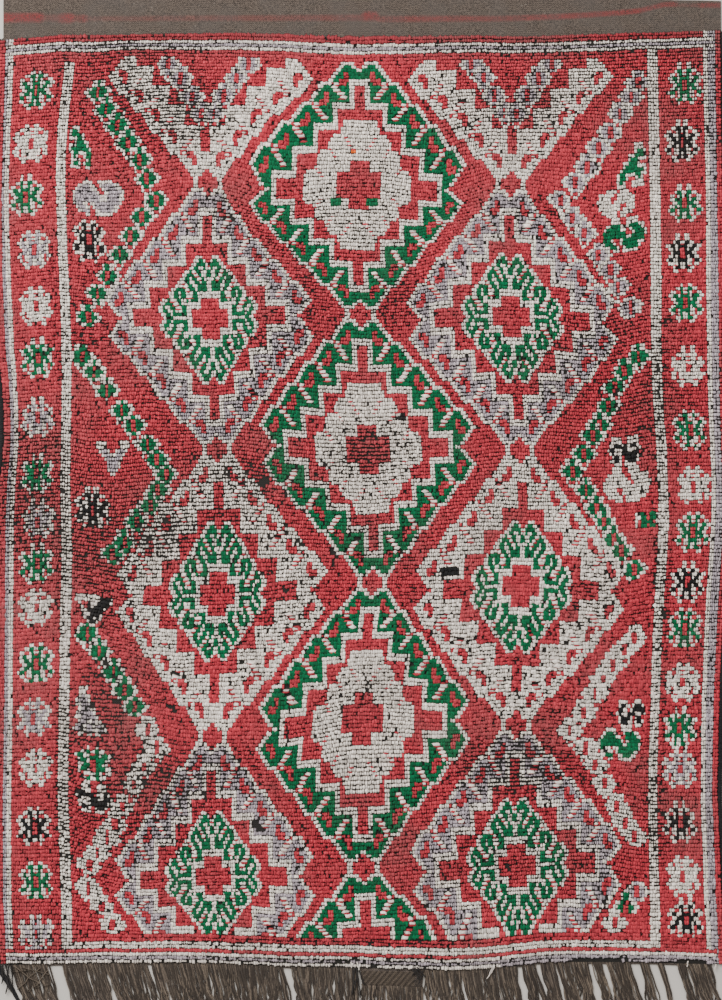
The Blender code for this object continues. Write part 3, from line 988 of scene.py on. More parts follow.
def paint_guards(chart):
    """White lines of the border and the rows along the head and the foot."""
    for row in range(CHART_ROWS):
        paint_run(chart, row, -148, -146, LILAC)
        paint_run(chart, row, -146, -144, IVORY)
        paint_run(chart, row, 140, 142, IVORY)
        paint_run(chart, row, 142, 146, LILAC)
    for row in range(5, 242):
        if row > 7:
            paint_run(chart, row, -124, -120, IVORY)
        paint_run(chart, row, 117, 121, IVORY)
    for row, wool in ((2, IVORY), (3, LILAC), (4, IVORY)):
        paint_run(chart, row, -148, 145, wool)
    for row in (242, 243):
        paint_run(chart, row, -124, 121, IVORY)
    for row, wool in ((244, RED), (245, IVORY), (246, LILAC), (247, IVORY)):
        paint_run(chart, row, -148, 145, wool)
    paint_run(chart, 247, 54, 145, LILAC)


def knot_chart():
    """The whole chart, one wool for each half knot of each row."""
    chart = np.full((CHART_ROWS, CHART_RIGHT - CHART_LEFT), RED, dtype=int)
    bands = ((IVORY, IVORY), (LILAC, LILAC), (IVORY, IVORY), (LILAC, LILAC))
    for axis in (-SIDE_AXIS, SIDE_AXIS):
        for tip_row, (outer, inner) in zip(SIDE_TIPS, bands):
            paint_diamond(chart, tip_row, axis, outer, inner)
            paint_joint(chart, tip_row, axis)
            if tip_row > 0:
                paint_hooked_medallion(chart, tip_row + MIDDLE_ROW, axis)
    for tip_row in CENTRE_TIPS:
        paint_diamond(chart, tip_row, 0, GREEN, GREEN)
        paint_joint(chart, tip_row, 0)
        if tip_row < CENTRE_TIPS[-1]:
            paint_middle_medallion(chart, tip_row + MIDDLE_ROW, 0)
    figures = {"rosette": ROSETTE, "curl": CURL, "thin curl": THIN_CURL, "comb": COMB, "chevron": CHEVRON,
               "arrowhead": ARROWHEAD, "bell": BELL, "cross": SMALL_CROSS}
    for wool, places in LINK_BANDS:
        paint_links(chart, WOOL_MARKS[wool], places)
    for name, wool, across, down, width, height, turned in FILLERS:
        paint_figure(chart, figures[name], WOOL_MARKS[wool], across, down, width, height, turned)
    for across, down, wool in BORDER_ROSETTES:
        paint_figure(chart, ROSETTE, WOOL_MARKS[wool], across, down, *ROSETTE_SIZE)
    for row in (0, 1):
        paint_run(chart, row, CHART_LEFT, CHART_RIGHT, RED)
    for row in (5, 6, 240, 241):
        paint_run(chart, row, -118, 116, RED)
    paint_guards(chart)
    for left, top, right, bottom, wool in REPAIRS:
        paint_patch(chart, left, top, right, bottom, WOOL_MARKS[wool])
    return chart


def paint_patch(chart, left, top, right, bottom, wool):
    """Give every half knot inside a patch of pixels one wool."""
    middle = (left + right) / 2.0
    for row in range(chart_row(middle, top), chart_row(middle, bottom) + 1):
        first = round(chart_half(left, (top + bottom) / 2.0))
        last = round(chart_half(right, (top + bottom) / 2.0))
        paint_run(chart, row, first, last, wool)


def soft_noise(x, y, seed):
    """Smooth noise from a few waves, about -1 to 1."""
    chance = np.random.default_rng(seed)
    total = np.zeros_like(np.asarray(x, dtype=float))
    for _ in range(12):
        fx, fy = chance.normal(0.0, 1.0, 2)
        total = total + np.sin(x * fx + y * fy + chance.uniform(0.0, 2.0 * math.pi))
    return total / 3.0


def row_places(row):
    """Pixels across and down of each half knot's edge along a row, and the row's pitch there."""
    halves = np.arange(CHART_LEFT, CHART_RIGHT + 1, dtype=float)
    pixels = halves * HALF_KNOT_PIXELS + CHART_MIDDLE_PIXEL
    for _ in range(2):
        downs = row_pixel(float(row), pixels)
        pixels = line_pixels(halves, downs)
    upper = min(row, CHART_ROWS - 2)
    pitch = row_pixel(upper + 1.0, pixels) - row_pixel(upper, pixels)
    return pixels, downs, pitch


def wool_runs(line):
    """Runs of one mark along a chart row: the mark, its first column and the column past it."""
    breaks = [int(place) + 1 for place in np.flatnonzero(np.diff(line))]
    return [(line[start], start, stop) for start, stop in zip([0] + breaks, breaks + [len(line)])]


def run_knots(mark, start, stop, row, places, chance):
    """Knots of one run: wool, pixels across and down, half width, half depth, row, thin or not."""
    pixels, downs, pitch = places
    steps = np.arange(len(pixels))
    run = np.interp(stop, steps, pixels) - np.interp(start, steps, pixels)
    count = 1 if mark == RUNG else max(1, round(run / KNOT_PIXELS))
    widths = chance.uniform(*KNOT_SPREAD, count)
    bounds = start + np.concatenate(([0.0], np.cumsum(widths) / widths.sum())) * (stop - start)
    middles = (bounds[:-1] + bounds[1:]) / 2.0
    edges = np.interp(bounds, steps, pixels)
    x = (edges[:-1] + edges[1:]) / 2.0
    y = np.interp(middles, steps, downs)
    room = np.interp(middles, steps, pitch)
    wool = IVORY if mark in (RUNG, DASH) else mark
    knots = []
    for place in range(count if wool != BARE else 0):
        half_width = (edges[place + 1] - edges[place]) / 2.0
        single = mark == RUNG or half_width < LEAST_PAIR_SHARE * KNOT_PIXELS
        for side in (0.0,) if single else (-TUFT_ASIDE, TUFT_ASIDE):
            tuft = half_width if single else half_width * TUFT_SHARE
            knots.append((wool, x[place] + side * half_width, y[place], tuft, room[place] / 2.0, row, 0.0))
    if mark in (RUNG, DASH):
        below = y.mean() + room.mean() / 2.0
        thin_width = (edges[-1] - edges[0]) * THIN_KNOT_WIDTH
        knots.append((RED, x.mean(), below, thin_width, room.mean() * THIN_KNOT_DEPTH, row, 1.0))
    return knots


def knot_places(chart, settings):
    """Every tuft: wool, x, y, half width, half depth, row, and whether it is a thin one."""
    chance = np.random.default_rng(settings.seed)
    found = []
    for row in range(CHART_ROWS):
        places = row_places(row)
        for mark, start, stop in wool_runs(chart[row]):
            found += run_knots(mark, start, stop, row, places, chance)
    table = np.array(found, dtype=float)
    table = table[~lost_knots(table[:, 1], table[:, 2], chance)]
    x, y = pixel_point(table[:, 1], table[:, 2])
    half_width = table[:, 3] * METRES_PER_PIXEL
    half_depth = table[:, 4] * METRES_PER_PIXEL
    stray = settings.unevenness
    x = x + chance.normal(0.0, stray, len(x)) * half_width
    y = y + chance.normal(0.0, stray, len(x)) * half_depth
    y = y + ROW_WANDER * soft_noise(x * 16.0, y * 9.0, ROW_SEED)
    return table[:, 0].astype(int), x, y, half_width, half_depth, table[:, 5], table[:, 6]


def lost_knots(across, down, chance):
    """Which knots have gone: those in the worn holes, and a few here and there."""
    gone = chance.uniform(0.0, 1.0, len(across)) < LOST_SHARE + LOST_BY_WEAR * parted(across, down)
    for middle_x, middle_y, long, wide, turn in LOST_KNOTS:
        dx = across - middle_x
        dy = down - middle_y
        along = dx * math.cos(turn) + dy * math.sin(turn)
        aside = -dx * math.sin(turn) + dy * math.cos(turn)
        away = np.hypot(along / long, aside / wide) + chance.normal(0.0, 0.15, len(across))
        gone = gone | (away < 1.0)
    return gone


def parted(across, down):
    """How far the rows have parted in the worn parts of the pile, from 0 to 1."""
    total = np.zeros_like(np.asarray(across, dtype=float))
    for middle_x, middle_y, reach_x, reach_y, strength in PARTED_PLACES:
        away = ((across - middle_x) / reach_x) ** 2 + ((down - middle_y) / reach_y) ** 2
        total = np.maximum(total, strength * np.exp(-away * away * 0.7))
    return total


def line_pixels(halves, downs):
    """Pixels across of half knots along a row whose pixels down are given."""
    pixels = np.empty_like(downs)
    for place, (half, down) in enumerate(zip(halves, downs)):
        lines, across = guides_at(down)
        pixels[place] = np.interp(half, lines, across)
    return pixels


def tuft_template():
    """One tuft of unit size, a four-sided pillow open below: its points and triangles."""
    mesh = bmesh.new()
    bmesh.ops.create_cone(mesh, cap_ends=True, segments=4, radius1=1.16, radius2=0.78, depth=1.0)
    lowest = min(mesh.faces, key=lambda face: face.calc_center_median().z)
    bmesh.ops.delete(mesh, geom=[lowest], context="FACES_ONLY")
    bmesh.ops.translate(mesh, verts=mesh.verts, vec=(0.0, 0.0, 0.5))
    return triangle_arrays(mesh)


def joined_mesh(name, points, faces, attributes, plan):
    """A mesh from arrays of points and triangles, with point attributes and a plan map."""
    data = bpy.data.meshes.new(name)
    data.vertices.add(len(points))
    data.vertices.foreach_set("co", points.astype(np.float32).ravel())
    data.loops.add(faces.size)
    data.loops.foreach_set("vertex_index", faces.astype(np.int32).ravel())
    data.polygons.add(len(faces))
    data.polygons.foreach_set("loop_start", np.arange(0, faces.size, 3, dtype=np.int32))
    data.update(calc_edges=True)
    add_attributes(data, attributes)
    add_plan(data, plan[faces.ravel()])
    data.shade_smooth()
    data.validate()
    return data


def add_attributes(data, attributes):
    """Give the points of a mesh their named values."""
    for key, values in attributes.items():
        layer = data.attributes.new(key, "FLOAT", "POINT")
        layer.data.foreach_set("value", values.astype(np.float32))


def add_plan(data, corners):
    """Give a mesh its own UV map, one place for each corner."""
    layer = data.uv_layers.new(name="OFBake")
    layer.data.foreach_set("uv", corners.astype(np.float32).ravel())


def mesh_points(data):
    """Points of a mesh as an array."""
    points = np.empty(len(data.vertices) * 3)
    data.vertices.foreach_get("co", points)
    return points.reshape(-1, 3)


def map_plan(data):
    """Give a mesh a plan view of its points as its UV map."""
    corners = np.empty(len(data.loops), dtype=np.int32)
    data.loops.foreach_get("vertex_index", corners)
    add_plan(data, plan_map(mesh_points(data))[corners])


def triangle_arrays(mesh):
    """Points and triangles of a bmesh as arrays; the bmesh is freed."""
    bmesh.ops.triangulate(mesh, faces=mesh.faces)
    mesh.verts.index_update()
    points = np.array([vert.co[:] for vert in mesh.verts])
    faces = np.array([[vert.index for vert in face.verts] for face in mesh.faces])
    mesh.free()
    return points, faces


def finished_mesh(name, mesh):
    """A mesh made of a bmesh, which is freed."""
    data = bpy.data.meshes.new(name)
    mesh.to_mesh(data)
    mesh.free()
    return data


def plan_map(points, margin=0.004):
    """A plan view of points, fitted into the unit square."""
    low = points[:, :2].min(axis=0)
    high = points[:, :2].max(axis=0)
    return margin + (points[:, :2] - low) / (high - low) * (1.0 - 2.0 * margin)


def add_piece(name, data, materials):
    """Link a mesh as a piece of the rug that rides on its one body."""
    for material in materials:
        data.materials.append(material)
    piece = bpy.data.objects.new(name, data)
    bpy.context.scene.collection.objects.link(piece)
    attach(piece, "root")
    return piece


def node_group(name, inputs, outputs):
    """A new shader node group with its sockets."""
    group = bpy.data.node_groups.new(name, "ShaderNodeTree")
    for label, kind, value in inputs:
        socket = group.interface.new_socket(label, in_out="INPUT", socket_type=kind)
        if value is not None:
            socket.default_value = value
    for label, kind in outputs:
        group.interface.new_socket(label, in_out="OUTPUT", socket_type=kind)
    return group, group.nodes.new("NodeGroupInput"), group.nodes.new("NodeGroupOutput")


def math_node(tree, operation, first, second=None, clamp=False):
    """A Math node with its inputs linked or set."""
    node = tree.nodes.new("ShaderNodeMath")
    node.operation = operation
    node.use_clamp = clamp
    for place, value in enumerate((first, second)):
        if value is None:
            continue
        if isinstance(value, (int, float)):
            node.inputs[place].default_value = value
        else:
            tree.links.new(value, node.inputs[place])
    return node.outputs["Value"]


def mix_colour(tree, share, first, second):
    """A Mix node for colours with its inputs linked or set."""
    node = tree.nodes.new("ShaderNodeMix")
    node.data_type = "RGBA"
    colours = [socket for socket in node.inputs if socket.type == "RGBA"]
    for socket, value in zip([node.inputs["Factor"]] + colours, (share, first, second)):
        if isinstance(value, bpy.types.NodeSocket):
            tree.links.new(value, socket)
        else:
            socket.default_value = value
    return next(socket for socket in node.outputs if socket.type == "RGBA")


def noise(tree, vector, scale, detail=2.0, roughness=0.5):
    """A Noise Texture's value."""
    node = tree.nodes.new("ShaderNodeTexNoise")
    node.inputs["Scale"].default_value = scale
    node.inputs["Detail"].default_value = detail
    node.inputs["Roughness"].default_value = roughness
    tree.links.new(vector, node.inputs["Vector"])
    return node.outputs["Fac"]


def spread(tree, value, low, high, start=0.0, stop=1.0):
    """Stretch a value from one range to another, eased and clamped."""
    node = tree.nodes.new("ShaderNodeMapRange")
    node.interpolation_type = "SMOOTHSTEP"
    node.inputs["From Min"].default_value = low
    node.inputs["From Max"].default_value = high
    node.inputs["To Min"].default_value = start
    node.inputs["To Max"].default_value = stop
    tree.links.new(value, node.inputs["Value"])
    return node.outputs["Result"]


def fleece_group():
    """Wool: one dye, uneven from knot to knot, darkened by painted shade where a piece gives it and most
    towards its root, dusty in places.
    """
    if "wool fleece" in bpy.data.node_groups:
        return bpy.data.node_groups["wool fleece"]
    group, given, out = node_group(
        "wool fleece",
        (("Wool", "NodeSocketColor", (0.5, 0.5, 0.5, 1.0)),
         ("Dust", "NodeSocketColor", DUST),
         ("Dust share", "NodeSocketFloat", 0.25),
         ("Soil", "NodeSocketFloat", 0.0),
         ("Tone and shade", "NodeSocketFloat", 0.5),
         ("Depth", "NodeSocketFloat", 0.0),
         ("Fibre scale", "NodeSocketFloat", 330.0)),
        (("Colour", "NodeSocketColor"), ("Height", "NodeSocketFloat"), ("Rough", "NodeSocketFloat")))
    place = group.nodes.new("ShaderNodeTexCoord").outputs["Object"]
    fibre_node = group.nodes.new("ShaderNodeTexNoise")
    fibre_node.inputs["Detail"].default_value = 3.0
    fibre_node.inputs["Roughness"].default_value = 0.65
    group.links.new(place, fibre_node.inputs["Vector"])
    group.links.new(given.outputs["Fibre scale"], fibre_node.inputs["Scale"])
    fibre = fibre_node.outputs["Fac"]
    large = noise(group, place, 5.0, 4.0, 0.6)
    # The tone input holds random tone from knot to knot together with the painted shade and light that the
    # pieces put into it
    value = math_node(group, "MULTIPLY", spread(group, given.outputs["Tone and shade"], 0.0, 1.0, 0.62, 1.28),
                      spread(group, fibre, 0.32, 0.68, 0.66, 1.22))
    dyed = group.nodes.new("ShaderNodeHueSaturation")
    group.links.new(given.outputs["Wool"], dyed.inputs["Color"])
    group.links.new(value, dyed.inputs["Value"])
    fibred = dyed.outputs["Color"]
    dust = math_node(group, "MULTIPLY", spread(group, large, 0.45, 0.72), given.outputs["Dust share"])
    dust = math_node(group, "ADD", dust, given.outputs["Soil"], clamp=True)
    dusty = mix_colour(group, dust, fibred, given.outputs["Dust"])
    # Painted shade: each point is mixed towards the near-black root colour by its depth value, most at the
    # foot of a tuft and on under yarns
    deep = math_node(group, "MULTIPLY", given.outputs["Depth"], 0.82)
    root_shaded = mix_colour(group, deep, dusty, PAINTED_ROOT_SHADE)
    group.links.new(root_shaded, out.inputs["Colour"])
    group.links.new(fibre, out.inputs["Height"])
    group.links.new(spread(group, fibre, 0.3, 0.7, 0.98, 0.82), out.inputs["Rough"])
    return group


def attribute(tree, name):
    """A point attribute's value."""
    node = tree.nodes.new("ShaderNodeAttribute")
    node.attribute_name = name
    return node.outputs["Fac"]


def wool_material(name, colour, dust_share):
    """Matte wool in one dye."""
    material = bpy.data.materials.new(name)
    material.use_nodes = True
    tree = material.node_tree
    shader = tree.nodes["Principled BSDF"]
    fleece = tree.nodes.new("ShaderNodeGroup")
    fleece.node_tree = fleece_group()
    fleece.inputs["Wool"].default_value = (*colour, 1.0)
    fleece.inputs["Dust share"].default_value = dust_share
    tree.links.new(attribute(tree, "tone_and_shade"), fleece.inputs["Tone and shade"])
    tree.links.new(attribute(tree, "soil"), fleece.inputs["Soil"])
    tree.links.new(attribute(tree, "depth"), fleece.inputs["Depth"])
    bump = tree.nodes.new("ShaderNodeBump")
    bump.inputs["Strength"].default_value = 0.55
    bump.inputs["Distance"].default_value = 0.0009
    tree.links.new(fleece.outputs["Height"], bump.inputs["Height"])
    tree.links.new(bump.outputs["Normal"], shader.inputs["Normal"])
    tree.links.new(fleece.outputs["Colour"], shader.inputs["Base Color"])
    tree.links.new(fleece.outputs["Rough"], shader.inputs["Roughness"])
    shader.inputs["Sheen Weight"].default_value = 0.04
    shader.inputs["Sheen Roughness"].default_value = 0.6
    shader.inputs["Specular IOR Level"].default_value = 0.12
    material.diffuse_color = (*colour, 1.0)
    return material


class RUG_OT_stage(bpy.types.Operator):
    """Add the plain floor, the soft lights and the camera straight above the rug"""

    bl_idname = "rug.stage"
    bl_label = "Stage"

    def execute(self, context):
        settings = context.scene.rug_stage
        add_floor(settings)
        add_lights(settings)
        add_camera(settings)
        return {"FINISHED"}


def add_floor(settings):
    """A plain pale floor under the rug."""
    mesh = bmesh.new()
    bmesh.ops.create_grid(mesh, x_segments=2, y_segments=2, size=FLOOR_SIZE)
    bmesh.ops.translate(mesh, verts=mesh.verts, vec=(0.0, 0.0, -FLOOR_DROP))
    data = finished_mesh("floor", mesh)
    material = bpy.data.materials.new("plain_floor")
    material.use_nodes = True
    shader = material.node_tree.nodes["Principled BSDF"]
    shader.inputs["Base Color"].default_value = (*settings.floor_colour, 1.0)
    shader.inputs["Roughness"].default_value = 0.7
    data.materials.append(material)
    floor = bpy.data.objects.new("floor", data)
    bpy.context.scene.collection.objects.link(floor)


def add_lights(settings):
    """One large soft light and a plain sky."""
    key = bpy.data.lights.new("key", "AREA")
    key.shape = "RECTANGLE"
    key.size = KEY_SIZE
    key.size_y = KEY_SIZE
    key.energy = settings.key_power
    holder = bpy.data.objects.new("key", key)
    holder.location = KEY_PLACE
    holder.rotation_euler = (-Vector(KEY_PLACE)).to_track_quat("-Z", "Y").to_euler()
    bpy.context.scene.collection.objects.link(holder)
    world = bpy.data.worlds.new("studio")
    world.use_nodes = True
    sky = world.node_tree.nodes["Background"]
    sky.inputs["Color"].default_value = SKY_COLOUR
    sky.inputs["Strength"].default_value = settings.sky_strength
    bpy.context.scene.world = world


def add_camera(settings):
    """A long lens straight above the middle of the photograph."""
    lens = bpy.data.cameras.new("camera")
    lens.type = "PERSP"
    lens.sensor_width = SENSOR_WIDTH
    height = settings.camera_height
    pile_level = PILE_THICKNESS * 0.9
    lens.lens = SENSOR_WIDTH * (height - pile_level) / (PHOTO_PIXELS[1] * METRES_PER_PIXEL)
    camera = bpy.data.objects.new("camera", lens)
    across = (PHOTO_PIXELS[0] / 2.0 - PIXEL_OF_X_ZERO) * METRES_PER_PIXEL
    along = (PIXEL_OF_Y_ZERO - PHOTO_PIXELS[1] / 2.0) * METRES_PER_PIXEL
    camera.location = (across, along, height)
    bpy.context.scene.collection.objects.link(camera)
    bpy.context.scene.camera = camera


class RUG_OT_pile(bpy.types.Operator):
    """Knot the pile from its chart, one piece for each wool, three for the red and two for the ivory"""

    bl_idname = "rug.pile"
    bl_label = "Knotted pile"

    def execute(self, context):
        settings = context.scene.rug_pile
        knot_pile(settings)
        return {"FINISHED"}


def knot_pile(settings):
    """Every knot of the chart, joined by wool."""
    wool, x, y, half_width, half_depth, row, thin = knot_places(knot_chart(), settings)
    materials = (
        wool_material("madder_red_wool", settings.red, 0.34),
        wool_material("ivory_wool", settings.ivory, 0.22),
        wool_material("green_wool", settings.green, 0.12),
        wool_material("lilac_wool", settings.lilac, 0.25),
        wool_material("black_wool", settings.black, 0.10),
        wool_material("orange_wool", settings.orange, 0.05),
    )
    groups = (
        ("red_pile_head", RED, (wool == RED) & (row < 80), "wool_pile"),
        ("red_pile_middle", RED, (wool == RED) & (row >= 80) & (row < 165), "wool_pile"),
        ("red_pile_foot", RED, (wool == RED) & (row >= 165), "wool_pile"),
        ("ivory_pile_head", IVORY, (wool == IVORY) & (row < 124), "ivory_wool"),
        ("ivory_pile_foot", IVORY, (wool == IVORY) & (row >= 124), "ivory_wool"),
        ("green_pile", GREEN, wool == GREEN, "green_wool"),
        ("lilac_pile", LILAC, wool == LILAC, "lilac_wool"),
        ("black_pile", BLACK, wool == BLACK, "dark_wool"),
        ("orange_knot_pile", ORANGE, wool == ORANGE, "wool_pile"),
    )
    for name, dye, chosen, slot in groups:
        data = tuft_mesh(name, x[chosen], y[chosen], half_width[chosen], half_depth[chosen],
                         thin[chosen], dye, settings)
        add_piece(name, data, (materials[dye],))


def tuft_mesh(name, x, y, half_width, half_depth, thin, dye, settings):
    """One mesh of many knots, each shaped a little differently."""
    chance = np.random.default_rng(settings.seed + 11 * dye + len(x))
    points, faces = tuft_template()
    count = len(x)
    gaps = row_gaps(x, y, dye, chance)
    smooth = soft_noise(x * 6.0, y * 8.0, FULLNESS_SEED)
    fuller = FULLNESS[dye] * (1.0 + 0.10 * smooth)
    wide = half_width * settings.knot_width * fuller * chance.normal(1.0, 0.10, count)
    wide = wide * (1.0 - GAP_NARROWS * gaps)
    deep = half_depth * settings.knot_depth * fuller * chance.normal(1.0, 0.12, count)
    deep = deep * (1.0 - GAP_THINS * gaps)
    top = PILE_THICKNESS - wear(x, y) - GAP_SINKS * gaps + chance.normal(0.0, 0.00030, count)
    fade = np.clip(1.0 - (HEAD_LINE - y) / CREASE_FADE, 0.0, 1.0)
    top = top - crease(x) * fade + THIN_RISE * thin
    top = np.clip(top, GROUND_THICKNESS + LEAST_PILE, PILE_THICKNESS + PILE_SPARE)
    tall = top - GROUND_THICKNESS + ROOT_OVERLAP
    turn = math.pi / 4.0 + chance.normal(0.0, TUFT_TURN, count)
    lean_y = TUFT_LEAN * half_depth
    lean_x = chance.normal(0.0, 0.12, count) * half_width
    px, py, pz = points[:, 0], points[:, 1], points[:, 2]
    ragged = chance.normal(1.0, settings.raggedness, (count, len(points), 2))
    around_x = (px[None, :] * np.cos(turn)[:, None] - py[None, :] * np.sin(turn)[:, None]) * ragged[:, :, 0]
    around_y = (px[None, :] * np.sin(turn)[:, None] + py[None, :] * np.cos(turn)[:, None]) * ragged[:, :, 1]
    cx = wide[:, None] * around_x + lean_x[:, None] * pz[None, :]
    cy = deep[:, None] * around_y + lean_y[:, None] * pz[None, :]
    rough = 1.0 + pz[None, :] * chance.normal(0.0, 0.07, (count, len(points)))
    cz = (top - tall)[:, None] + tall[:, None] * pz[None, :] * rough
    places = np.stack((x[:, None] + cx, y[:, None] + cy, cz), axis=2).reshape(-1, 3)
    count_points = len(points)
    corners = (faces[None, :, :] + count_points * np.arange(count)[:, None, None]).reshape(-1, 3)
    # Painted shade: knots beside parted rows, thin knots sunk between the rows and red knots by the head
    # line are darkened through their tone; the rest of the tone is random
    near_head = np.clip(1.0 - (HEAD_LINE - y) / HEAD_SHADE_DEPTH, 0.0, 1.0) if dye == RED else 0.0
    tone_and_shade = chance.normal(0.5, 0.18, count) - 0.25 * gaps - 0.25 * thin - HEAD_SHADE * near_head
    # Painted shade towards each tuft's root: 0 at its top, 1 at its foot
    depth = 1.0 - points[:, 2]
    attributes = {
        "tone_and_shade": np.repeat(np.clip(tone_and_shade, 0.0, 1.0), count_points),
        "depth": np.tile(depth, count),
        "soil": np.repeat(soiled(x, y) * (FIRM_SOIL if dye in (GREEN, BLACK) else 1.0), count_points),
    }
    return joined_mesh(name, places, corners, attributes, plan_map(places))


def soiled(x, y):
    """How dusty the wool is at each knot, from 0 to 1."""
    across, down = pixels_of(x, y)
    total = 0.03 + 0.03 * soft_noise(x * 9.0, y * 9.0, SOIL_SEED)
    for middle_x, middle_y, reach_x, reach_y, strength in SOILED_PLACES:
        away = ((across - middle_x) / reach_x) ** 2 + ((down - middle_y) / reach_y) ** 2
        total = total + strength * np.exp(-away)
    return np.clip(total, 0.0, 0.7)


def row_gaps(x, y, dye, chance):
    """How far the rows have parted at each knot, from 0 to 1: short dashes, more where it is worn."""
    across, down = pixels_of(x, y)
    dashes = soft_noise(x * 230.0, y * 365.0, DASH_SEED)
    patches = soft_noise(x * 7.0, y * 9.0, PATCH_SEED)
    share = parted(across, down) * (WEAR_OF_SOFT_WOOL if dye in SOFT_WOOLS else WEAR_OF_FIRM_WOOL)
    strength = READINESS[dye] + PATCH_WEIGHT * patches + share + DASH_WEIGHT * dashes
    strength = strength + chance.normal(0.0, 0.10, len(x)) - 0.5
    return np.clip(strength * 2.4, 0.0, 1.0)


class RUG_OT_ground(bpy.types.Operator):
    """Weave the ground under the pile and the bare web at the head end"""

    bl_idname = "rug.ground"
    bl_label = "Woven ground"

    def execute(self, context):
        weave_ground(context.scene.rug_ground)
        return {"FINISHED"}


def ground_rows():
    """Rows of the ground from the head: nominal place, and whether the row carries pile."""
    rows = [(1.0 - step / WEB_GRID_ROWS, False) for step in range(WEB_GRID_ROWS + 1)]
    low = FOOT_LINE
    high = HEAD_LINE - HEAD_STEP
    rows += [(high + (low - high) * step / PILE_GRID_ROWS, True) for step in range(PILE_GRID_ROWS + 1)]
    return rows


def ground_point(across, row):
    """A point of the ground's upper side."""
    nominal, is_pile = row
    if not is_pile:
        side = HEAD_LINE + 0.002 + nominal * 0.1
        left = eased(SIDE_EDGES, side, 1)
        right = eased(SIDE_EDGES, side, 2)
        x = left + (right - left) * across
        end = eased(END_EDGES, x, 1)
        head = eased(END_EDGES, x, 2)
        return x, head + (end - head) * nominal, WEB_THICKNESS - float(crease(x))
    left = eased(SIDE_EDGES, nominal, 1)
    right = eased(SIDE_EDGES, nominal, 2)
    x = left + (right - left) * across
    head_share = max(0.0, 1.0 - (HEAD_LINE - HEAD_STEP - nominal) / END_REACH)
    foot_share = max(0.0, 1.0 - (nominal - FOOT_LINE) / END_REACH)
    y = nominal
    y += (eased(END_EDGES, x, 2) - HEAD_LINE) * head_share
    y += (eased(END_EDGES, x, 3) - FOOT_LINE) * foot_share
    return x, y, GROUND_THICKNESS - float(crease(x))


def grid_slab(places):
    """A closed slab on Z = 0 under a grid of upper points, given row by row."""
    row_count = len(places)
    column_count = len(places[0])
    mesh = bmesh.new()
    bmesh.ops.create_grid(mesh, x_segments=column_count - 1, y_segments=row_count - 1, size=0.5)
    upper = sorted(mesh.verts, key=lambda vert: (-round(vert.co.y, 5), vert.co.x))
    for index, vert in enumerate(upper):
        vert.co = places[index // column_count][index % column_count]
    upper_faces = list(mesh.faces)
    under = bmesh.ops.extrude_face_region(mesh, geom=upper_faces, use_keep_orig=True)
    for item in under["geom"]:
        if isinstance(item, bmesh.types.BMVert):
            item.co.z = 0.0
    bmesh.ops.recalc_face_normals(mesh, faces=mesh.faces)
    flat = [face for face in mesh.faces if max(vert.co.z for vert in face.verts) < 0.00001]
    bmesh.ops.dissolve_faces(mesh, faces=flat)
    return mesh


def weave_ground(settings):
    """The cloth's ground: one sheet under the pile, bare at the head."""
    columns = [step / GROUND_COLUMNS for step in range(GROUND_COLUMNS + 1)]
    rows = ground_rows()
    places = []
    for row in rows:
        line = []
        for across in columns:
            x, y, z = ground_point(across, row)
            if not row[1]:
                z += 0.0004 * float(soft_noise(x * 55.0, y * 90.0, WEB_SEED))
            line.append((x, y, z))
        places.append(line)
    data = finished_mesh("woven_ground", grid_slab(places))
    points = mesh_points(data)
    across, down = pixels_of(points[:, 0], points[:, 1])
    add_attributes(data, {
        "stripe": stripe_share(across, down),
        "bare": (down < row_pixel(0.0, across) - 1.0).astype(float),
    })
    map_plan(data)
    piece = add_piece("woven_ground", data, (ground_material(settings),))
    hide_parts("rug_cloth")


def stripe_share(across, down):
    """How red the head web is at a pixel."""
    middle = read_table(WEB_STRIPE, across, 1)
    half = read_table(WEB_STRIPE, across, 2)
    strength = read_table(WEB_STRIPE, across, 3)
    away = np.abs(down - middle) / half
    return strength * np.clip(1.6 - away * 0.9, 0.0, 1.0) * (down < 32.0)


